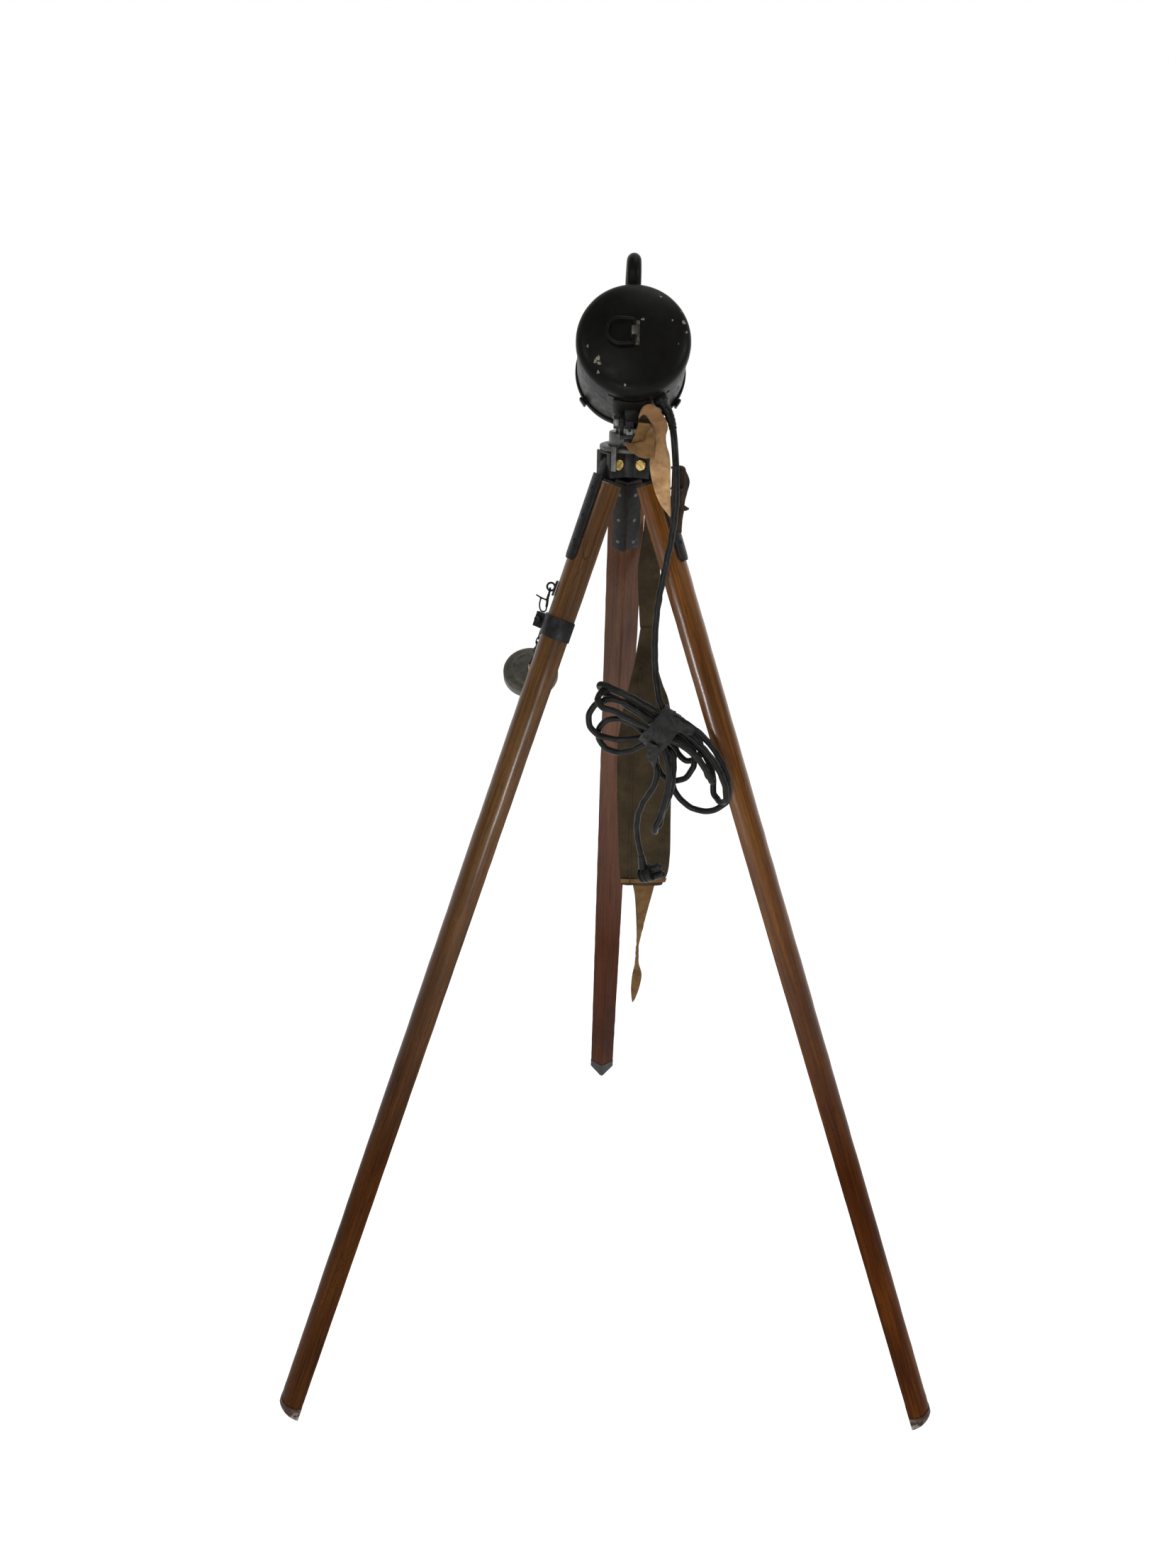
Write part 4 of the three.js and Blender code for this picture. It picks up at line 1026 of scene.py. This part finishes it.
def make_rear_strap():
    """The strap behind the head, from the swivel down to the boot, and the boot with its hem and tail."""
    rear = [[(23, y, z), (37, y, z)] for y, z in [(36.4, 1301), (40, 1280), (42, 1240)]]
    rear += [[(21, 43, 1200), (40, 43, 1200)], [(17, 44, 1160), (44, 44, 1160)],
             [(19, 44, 1120), (45, 44, 1120)], [(22, 45, 1084), (42, 45, 1084)]]
    piece = sling_piece("leather_rear", ribbon(rear, 4, 1.2, 22, 4.0, 14, 120), "head",
                        "olive_leather", "sling_rear", slot="dark_leather", ride=False)
    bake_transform(piece)

    edges = [(23, 40, 1085), (20, 42.5, 1060), (16, 46, 1034), (11, 54, 1008), (6, 63, 985), (1, 69, 950),
             (-2, 70.5, 920), (-1, 72, 860), (1.5, 73.5, 810), (4, 75, 760), (6.5, 73, 730), (9, 66, 711)]
    boot = [((left, z), (right, z)) for left, right, z in edges]
    body = ribbon(flat_rows(boot, 46), 9, 1.6, 34, 2.5, 26, 160)
    seam = [((x, z), (x + 2, z)) for x, z in
            [(24, 1030), (21, 985), (18, 940), (17, 880), (18, 820), (19, 760), (20, 714)]]
    lip = ribbon(flat_rows(seam, 40.6), 1.6, 0.5, 20, 1.0, 6, 120)
    boot_piece = sling_piece("boot", gathered(body, lip), "head", "olive_leather", "sling_boot")
    bottom = [((8, 722), (8.4, 716)), ((40, 722), (40, 716)), ((72, 724), (70, 718))]
    hem = ribbon(flat_rows(bottom, 40.9), 1.4, 0.2, 10, 1.0, 4, 60)
    hem_piece = sling_piece("boot_hem", hem, "head", "flap_leather")
    for piece in (boot_piece, hem_piece):  # each gets a mesh of its own; the rear leg presses on these pieces
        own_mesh(piece)

    tail = [[(25, 46, 712), (56, 46, 712)], [(29, 45.5, 690), (52, 46.5, 690)],
            [(32, 45, 655), (45, 47, 655)], [(34, 44, 625), (40, 48, 625)],
            [(33.5, 47.5, 603), (36.5, 44.5, 603)], [(33.5, 48, 580), (38, 44, 580)],
            [(30, 47.5, 562), (43, 45, 560)], [(28.5, 46.5, 540), (41, 45, 540)],
            [(29.5, 46.5, 522), (36, 45.5, 520)], [(31, 46, 512), (32, 46, 511)]]
    sling_piece("boot_tail", ribbon(tail, 3.4, 0.7, 16, 8.0, 12, 120), "head", "flap_leather",
                "sling_tail")


# ---------------------------------------------------------------- flex
CORD = 7.5
GLAND_END = GLAND @ Vector((0, 0, -75.2))


def in_hank(x, depth, z):
    """A point of the hank: depth is behind its plane, which leans back to the left."""
    return Vector((x, -82 - 0.25 * (x + 8) + depth, z))


LEAD = [(44, -51, 1347), (46, -60, 1336), (47.5, -67, 1322), (49, -71.2, 1306.2)]
DROP = [(49, -71.2, 1306.2), (50.5, -73, 1287), (51, -74, 1262), (49, -75, 1236), (44.5, -75, 1204),
        (38, -75, 1168), (34.5, -75, 1136), (34, -76, 1108), (36, -79, 1070), (39, -86, 1049)]
TURNS = [
    # down into the tie and out to the thick fold on the right
    (43, 6, 1034), (51, 1, 1020), (62, -4, 1011), (76, -8, 1003), (96, -9, 989), (113, -9, 966),
    (123, -9, 943), (124, -6, 924), (119, 3, 913), (112, 11, 925), (111, 13, 945), (103, 13, 967),
    (87, 11, 987), (68, 9, 1002),
    # left to the upper fold
    (45, 8, 1015), (28, 6, 1026), (10, 4, 1038), (-11, 2, 1046), (-27, -1, 1047), (-35, -9, 1041),
    (-27, -17, 1034), (-8, -19, 1027), (10, -19, 1019), (28, -18, 1011), (45, -16, 1003),
    # right to the shorter fold
    (61, -17, 998), (80, -18, 988), (96, -18, 970), (106, -14, 951), (108, -5, 942), (103, 3, 953),
    (91, 3, 971), (75, 1, 988), (60, 0, 999), (45, 0, 1008),
    # left round the large loop
    (28, 0, 1018), (10, -1, 1031), (-8, -2, 1038), (-25, -4, 1036), (-38, -6, 1026), (-43, -7, 1010),
    (-39, -6, 995), (-27, -3, 987), (-11, 0, 984), (5, 1, 985), (21, 3, 989), (36, 5, 992),
    # down and right round the wide arc, and back outside the folds
    (50, 8, 985), (57, 11, 968), (58, 12, 948), (62, 11, 928), (70, 9, 912), (83, 7, 903), (98, 6, 900),
    (112, 5, 903), (123, 4, 912), (129, 3, 928), (127, 2, 948), (119, 2, 968), (107, 2, 987),
    (92, 2, 1003), (76, 1, 1014), (60, 0, 1020),
    # left to the fold along the top
    (45, -4, 1024), (28, -6, 1033), (10, -7, 1044), (-10, -7, 1050), (-27, 1, 1052), (-33, 9, 1046),
    (-24, 15, 1038), (-6, 15, 1030), (12, 14, 1020), (30, 14, 1009), (47, 15, 1000),
    # right round the small loop behind
    (66, 17, 998), (82, 18, 984), (89, 18, 966), (86, 17, 948), (77, 16, 935), (64, 15, 929),
    (51, 15, 934), (43, 14, 948), (40, 12, 966), (37, 10, 982),
    # left round the lower loop
    (24, 9, 997), (8, 8, 1007), (-10, 7, 1011), (-24, 5, 1004), (-31, 3, 989), (-25, 2, 974),
    (-11, 1, 966), (6, 2, 969), (24, 4, 979), (38, 8, 991),
    # right round the shallow loop
    (52, 20, 990), (64, 24, 974), (72, 25, 958), (84, 25, 954), (94, 24, 964), (95, 20, 982),
    (84, 12, 998), (66, 2, 1008), (52, -8, 1008),
    # down in front, folded up again
    (45, -14, 998), (49, -18, 984), (55, -19, 965), (56, -19, 943), (51, -19, 914), (43, -19, 884),
    (41, -14, 868), (45, -6, 876), (52, -4, 900), (60, -5, 928), (62, -4, 955), (57, -1, 977),
    # over inside the tie and down to the plug
    (48, 2, 987), (40, 1, 978), (41, -3, 962), (44, -6, 945), (38, -5, 928), (29, -2, 911), (22, 0, 891),
    (20, 0, 869), (24, -1, 848), (28, -1, 831), (30.8, -1, 815),
]


def settled(points, diameter):
    """Pushes a cord's turns apart until none lies in another, and opens its tightest bends."""
    span = 4  # of points, over which a bend is measured
    deepest = 0.6 * diameter  # how far a bend may bow over that span
    cord = np.array([list(p) for p in points])
    count = len(cord)
    index = np.arange(count)
    step = np.linalg.norm(cord[1] - cord[0])
    apart = np.abs(index[:, None] - index[None, :]) * step > diameter * 2.6
    held = np.clip(np.minimum(index, count - 1 - index) / 12, 0, 1)[:, None]
    for _ in range(320):
        gap = cord[:, None, :] - cord[None, :, :]
        length = np.linalg.norm(gap, axis=2) + 1e-9
        overlap = np.where(apart, np.clip(diameter * 1.05 - length, 0, None), 0)
        push = (gap / length[..., None] * overlap[..., None] * 0.25).sum(axis=1)
        bend = np.zeros_like(cord)
        bend[2:-2] = -(cord[:-4] - 4 * cord[1:-3] + 6 * cord[2:-2] - 4 * cord[3:-1] + cord[4:]) / 16
        stretch = np.zeros_like(cord)
        ahead = cord[1:] - cord[:-1]
        reach = np.linalg.norm(ahead, axis=1, keepdims=True)
        pull = ahead * (1 - step / reach) * 0.35
        stretch[:-1] += pull
        stretch[1:] -= pull
        bow = (cord[:-2 * span] + cord[2 * span:]) / 2 - cord[span:-span]
        depth = np.linalg.norm(bow, axis=1, keepdims=True) + 1e-9
        ease = bow * np.clip(1 - deepest / depth, 0, None) * 0.3
        bend[span:-span] += ease
        bend[:-2 * span] -= ease / 2
        bend[2 * span:] -= ease / 2
        cord = cord + (push + bend * 0.8 + stretch) * held
    return [Vector(p) for p in cord]


def flex_sweep(path):
    return sweep(path, circle(CORD / 2, 14), up=Vector((0.2, 1, 0.1)))


def ribbed(t):
    """The section of the strain relief, from the gland at 0 to its tip at 1."""
    return circle(5.4 - 1.2 * t + 0.28 * math.cos(t * 44), 20)


def flared_grip(t):
    return circle(4.4 + 1.6 * t, 20)


def make_flex():
    start = TRIPOD.inverted() @ GLAND_END
    out = (GLAND.to_3x3() @ Vector((0, 0, -1))).normalized()
    lead = smooth_path([start, start + out * 6, *LEAD], 2.0)
    lead_piece = add("flex_lead", flex_sweep(lead), TRIPOD, "lamp", "flex_rubber",
                     stands_for=("cord_lead",), ride=False)
    relief = add("flex_relief", sweep(lead[:13], ribbed), TRIPOD, "lamp", "flex_rubber", ride=False)
    for piece in (lead_piece, relief):
        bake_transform(piece)

    rough = smooth_path([*DROP, *[in_hank(*p) for p in TURNS]], 3.0)
    route = settled(rough, CORD)
    route = smooth_path([*route[:-4:3], route[-1]], 2.2)
    flex = add("flex", flex_sweep(route), TRIPOD, "head", "flex_rubber",
               stands_for=("cord_drop", "cord_hank", "cord_tail"), ride=False)
    plug_pieces = make_plug(route)
    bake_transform(flex)
    make_tie(route)


def make_plug(route):
    turn = Matrix.Rotation(math.radians(-24), 4, "Z") @ Matrix.Rotation(math.radians(62), 4, "Y")
    place = TRIPOD @ Matrix.Translation((31.2, -92.2, HINGE_Z - 492.8)) @ turn
    lying = place @ Matrix.Rotation(math.pi / 2, 4, "X")
    shell = soften([(0, -5), (7, -5), (9.6, -3.6), (9.9, -1), (8.4, -0.2), (8.4, 1.2), (10.4, 2), (10.6, 5),
                    (9.2, 5.8), (9.2, 7), (10.6, 7.8), (10.6, 12.6), (9.8, 14), (0, 14)], 0.6)
    body = add("plug_shell", revolve(shell, 56), lying, "head", "flex_rubber", stands_for=("plug_body",))
    grip = add("plug_grip", sweep(route[-9:], flared_grip), TRIPOD, "head", "flex_rubber")
    profile = soften([(0, 13), (4.8, 13), (4.8, 25.4), (3.7, 28), (2.2, 28.3), (1.8, 26.4), (0, 26.2)], 0.6)
    pins = []
    for name, x in (("plug_pin_upper", -5.4), ("plug_pin_lower", 5.4)):
        pin = moved(revolve(profile, 36), Matrix.Translation((x, 0, 0)))
        pins.append(add(f"{name}_turned", pin, lying, "head", "black_steel", stands_for=(name,)))
    return (body, grip, *pins)


def make_tie(route):
    """Cloth tape wound round the middle of the hank, with its two ends."""
    along = Vector((0.82, -0.2, -0.57)).normalized()
    across = Vector((0.57, -0.14, 0.82)).normalized()
    across = (across - along * across.dot(along)).normalized()
    deep = along.cross(across).normalized()
    centre = in_hank(46, 1, 1004)
    near = [p for p in route if abs((p - centre).dot(along)) < 17 and (p - centre).length < 48]
    rings = []
    count, turns = 30, 72
    for i in range(count + 1):
        t = i / count
        shift = (t - 0.5) * 30
        here = centre + along * shift
        level = [p for p in near if abs((p - here).dot(along)) < 6]
        ring = []
        for j in range(turns):
            angle = 2 * math.pi * j / turns
            way = across * math.cos(angle) + deep * math.sin(angle)
            reach = max([(p - here).dot(way) for p in level], default=14) + CORD / 2 + 1.4
            crease = noise.noise(Vector((shift * 0.32 + 3 * math.cos(angle), 3 * math.sin(angle), 0.5)))
            step = 0.8 * ((shift * 0.12 + angle / (2 * math.pi)) % 1)
            ring.append(here + way * (min(reach, 26) + crease * 1.1 + step))
        rings.append(ring)
    add("tie", loft(rings), TRIPOD, "head", "flex_rubber", "tape_cloth", smooth=50)
    upper = [((54, -22, 1030), (62, -24, 1014)), ((66, -25, 1026), (70, -26, 1012)),
             ((76, -25, 1024), (77, -26, 1012)), ((80, -23, 1020), (81, -24, 1015))]
    lower = [((28, -21, 996), (46, -23, 990)), ((27, -22, 982), (41, -25, 980)),
             ((31, -20, 972), (39, -22, 968)), ((36, -18, 965), (38, -19, 962))]
    for name, ends, seed in (("tie_end_upper", upper, 2.0), ("tie_end_lower", lower, 5.0)):
        rows = [[in_hank(*left), in_hank(*right)] for left, right in ends]
        add(name, ribbon(rows, 1.4, 1.0, 8, seed, 10, 40), TRIPOD, "head", "flex_rubber", "tape_cloth")


# ---------------------------------------------------------------- stage
def make_stage():
    bm = bmesh.new()
    bmesh.ops.create_grid(bm, x_segments=1, y_segments=1, size=30)
    mesh = bpy.data.meshes.new("floor")
    bm.to_mesh(mesh)
    bm.free()
    floor = bpy.data.objects.new("floor", mesh)
    scene.collection.objects.link(floor)
    shade = Shade("floor", 0.75)
    shade.color((0.8, 0.8, 0.8))
    shade.bsdf.inputs["Emission Color"].default_value = (1, 1, 1, 1)
    shade.bsdf.inputs["Emission Strength"].default_value = 0.68
    mesh.materials.append(shade.material)

    world = bpy.data.worlds.new("studio")
    world.use_nodes = True
    tree = world.node_tree
    direction = tree.nodes.new("ShaderNodeTexCoord").outputs["Generated"]
    split = tree.nodes.new("ShaderNodeSeparateXYZ")
    brightness = tree.nodes.new("ShaderNodeMapRange")  # white behind the lamp, dim in front
    brightness.inputs["From Min"].default_value = 0.1
    brightness.inputs["From Max"].default_value = 0.6
    brightness.inputs["To Min"].default_value = 0.12
    brightness.inputs["To Max"].default_value = 1.0
    tree.links.new(direction, split.inputs["Vector"])
    tree.links.new(split.outputs["Y"], brightness.inputs["Value"])
    tree.links.new(brightness.outputs["Result"], tree.nodes["Background"].inputs["Strength"])
    tree.nodes["Background"].inputs["Color"].default_value = (1, 1, 1, 1)
    scene.world = world

    def area(name, place, target, size, power):
        data = bpy.data.lights.new(name, "AREA")
        data.shape = "SQUARE"
        data.size = size
        data.energy = power
        light = bpy.data.objects.new(name, data)
        light.location = place
        light.rotation_euler = (Vector(target) - Vector(place)).to_track_quat("-Z", "Y").to_euler()
        scene.collection.objects.link(light)

    area("window", (-0.6, -2.5, 2.9), (0, 0, 1.0), 0.4, 15)
    area("right_window", (2.0, -0.9, 2.35), (0.2, -0.1, 1.0), 0.5, 15)
    area("left_window", (-1.7, -1.2, 2.35), (-0.2, -0.1, 1.0), 0.5, 8)
    area("doorway", (-0.5, -2.6, 0.85), (0, 0, 0.95), 0.24, 13)
    area("ceiling", (0.5, 0.2, 3.4), (0, 0, 0.6), 1.0, 12)
    scene.view_settings.view_transform = "Standard"


make_stage()
make_lamp()
make_cap_fittings()
make_handle()
make_lamp_fittings()
make_swivel()
make_head()
for leg_side, leg_wood in (("left", "dark_wood"), ("right", "amber_wood"), ("rear", "red_wood")):
    make_leg(leg_side, leg_wood)
make_left_leg_fittings()
make_dust_cap()
make_front_strap()
make_rear_strap()
make_flex()

# ---------------------------------------------------------------- CAD pieces kept as they are
record_slots = {part["node"]: part["material_slot"] for part in frame["record"]["subparts"]}
for node_name, node in frame["nodes"].items():
    node.data.materials.clear()
    node.data.materials.append(MATERIALS[record_slots[node_name]])
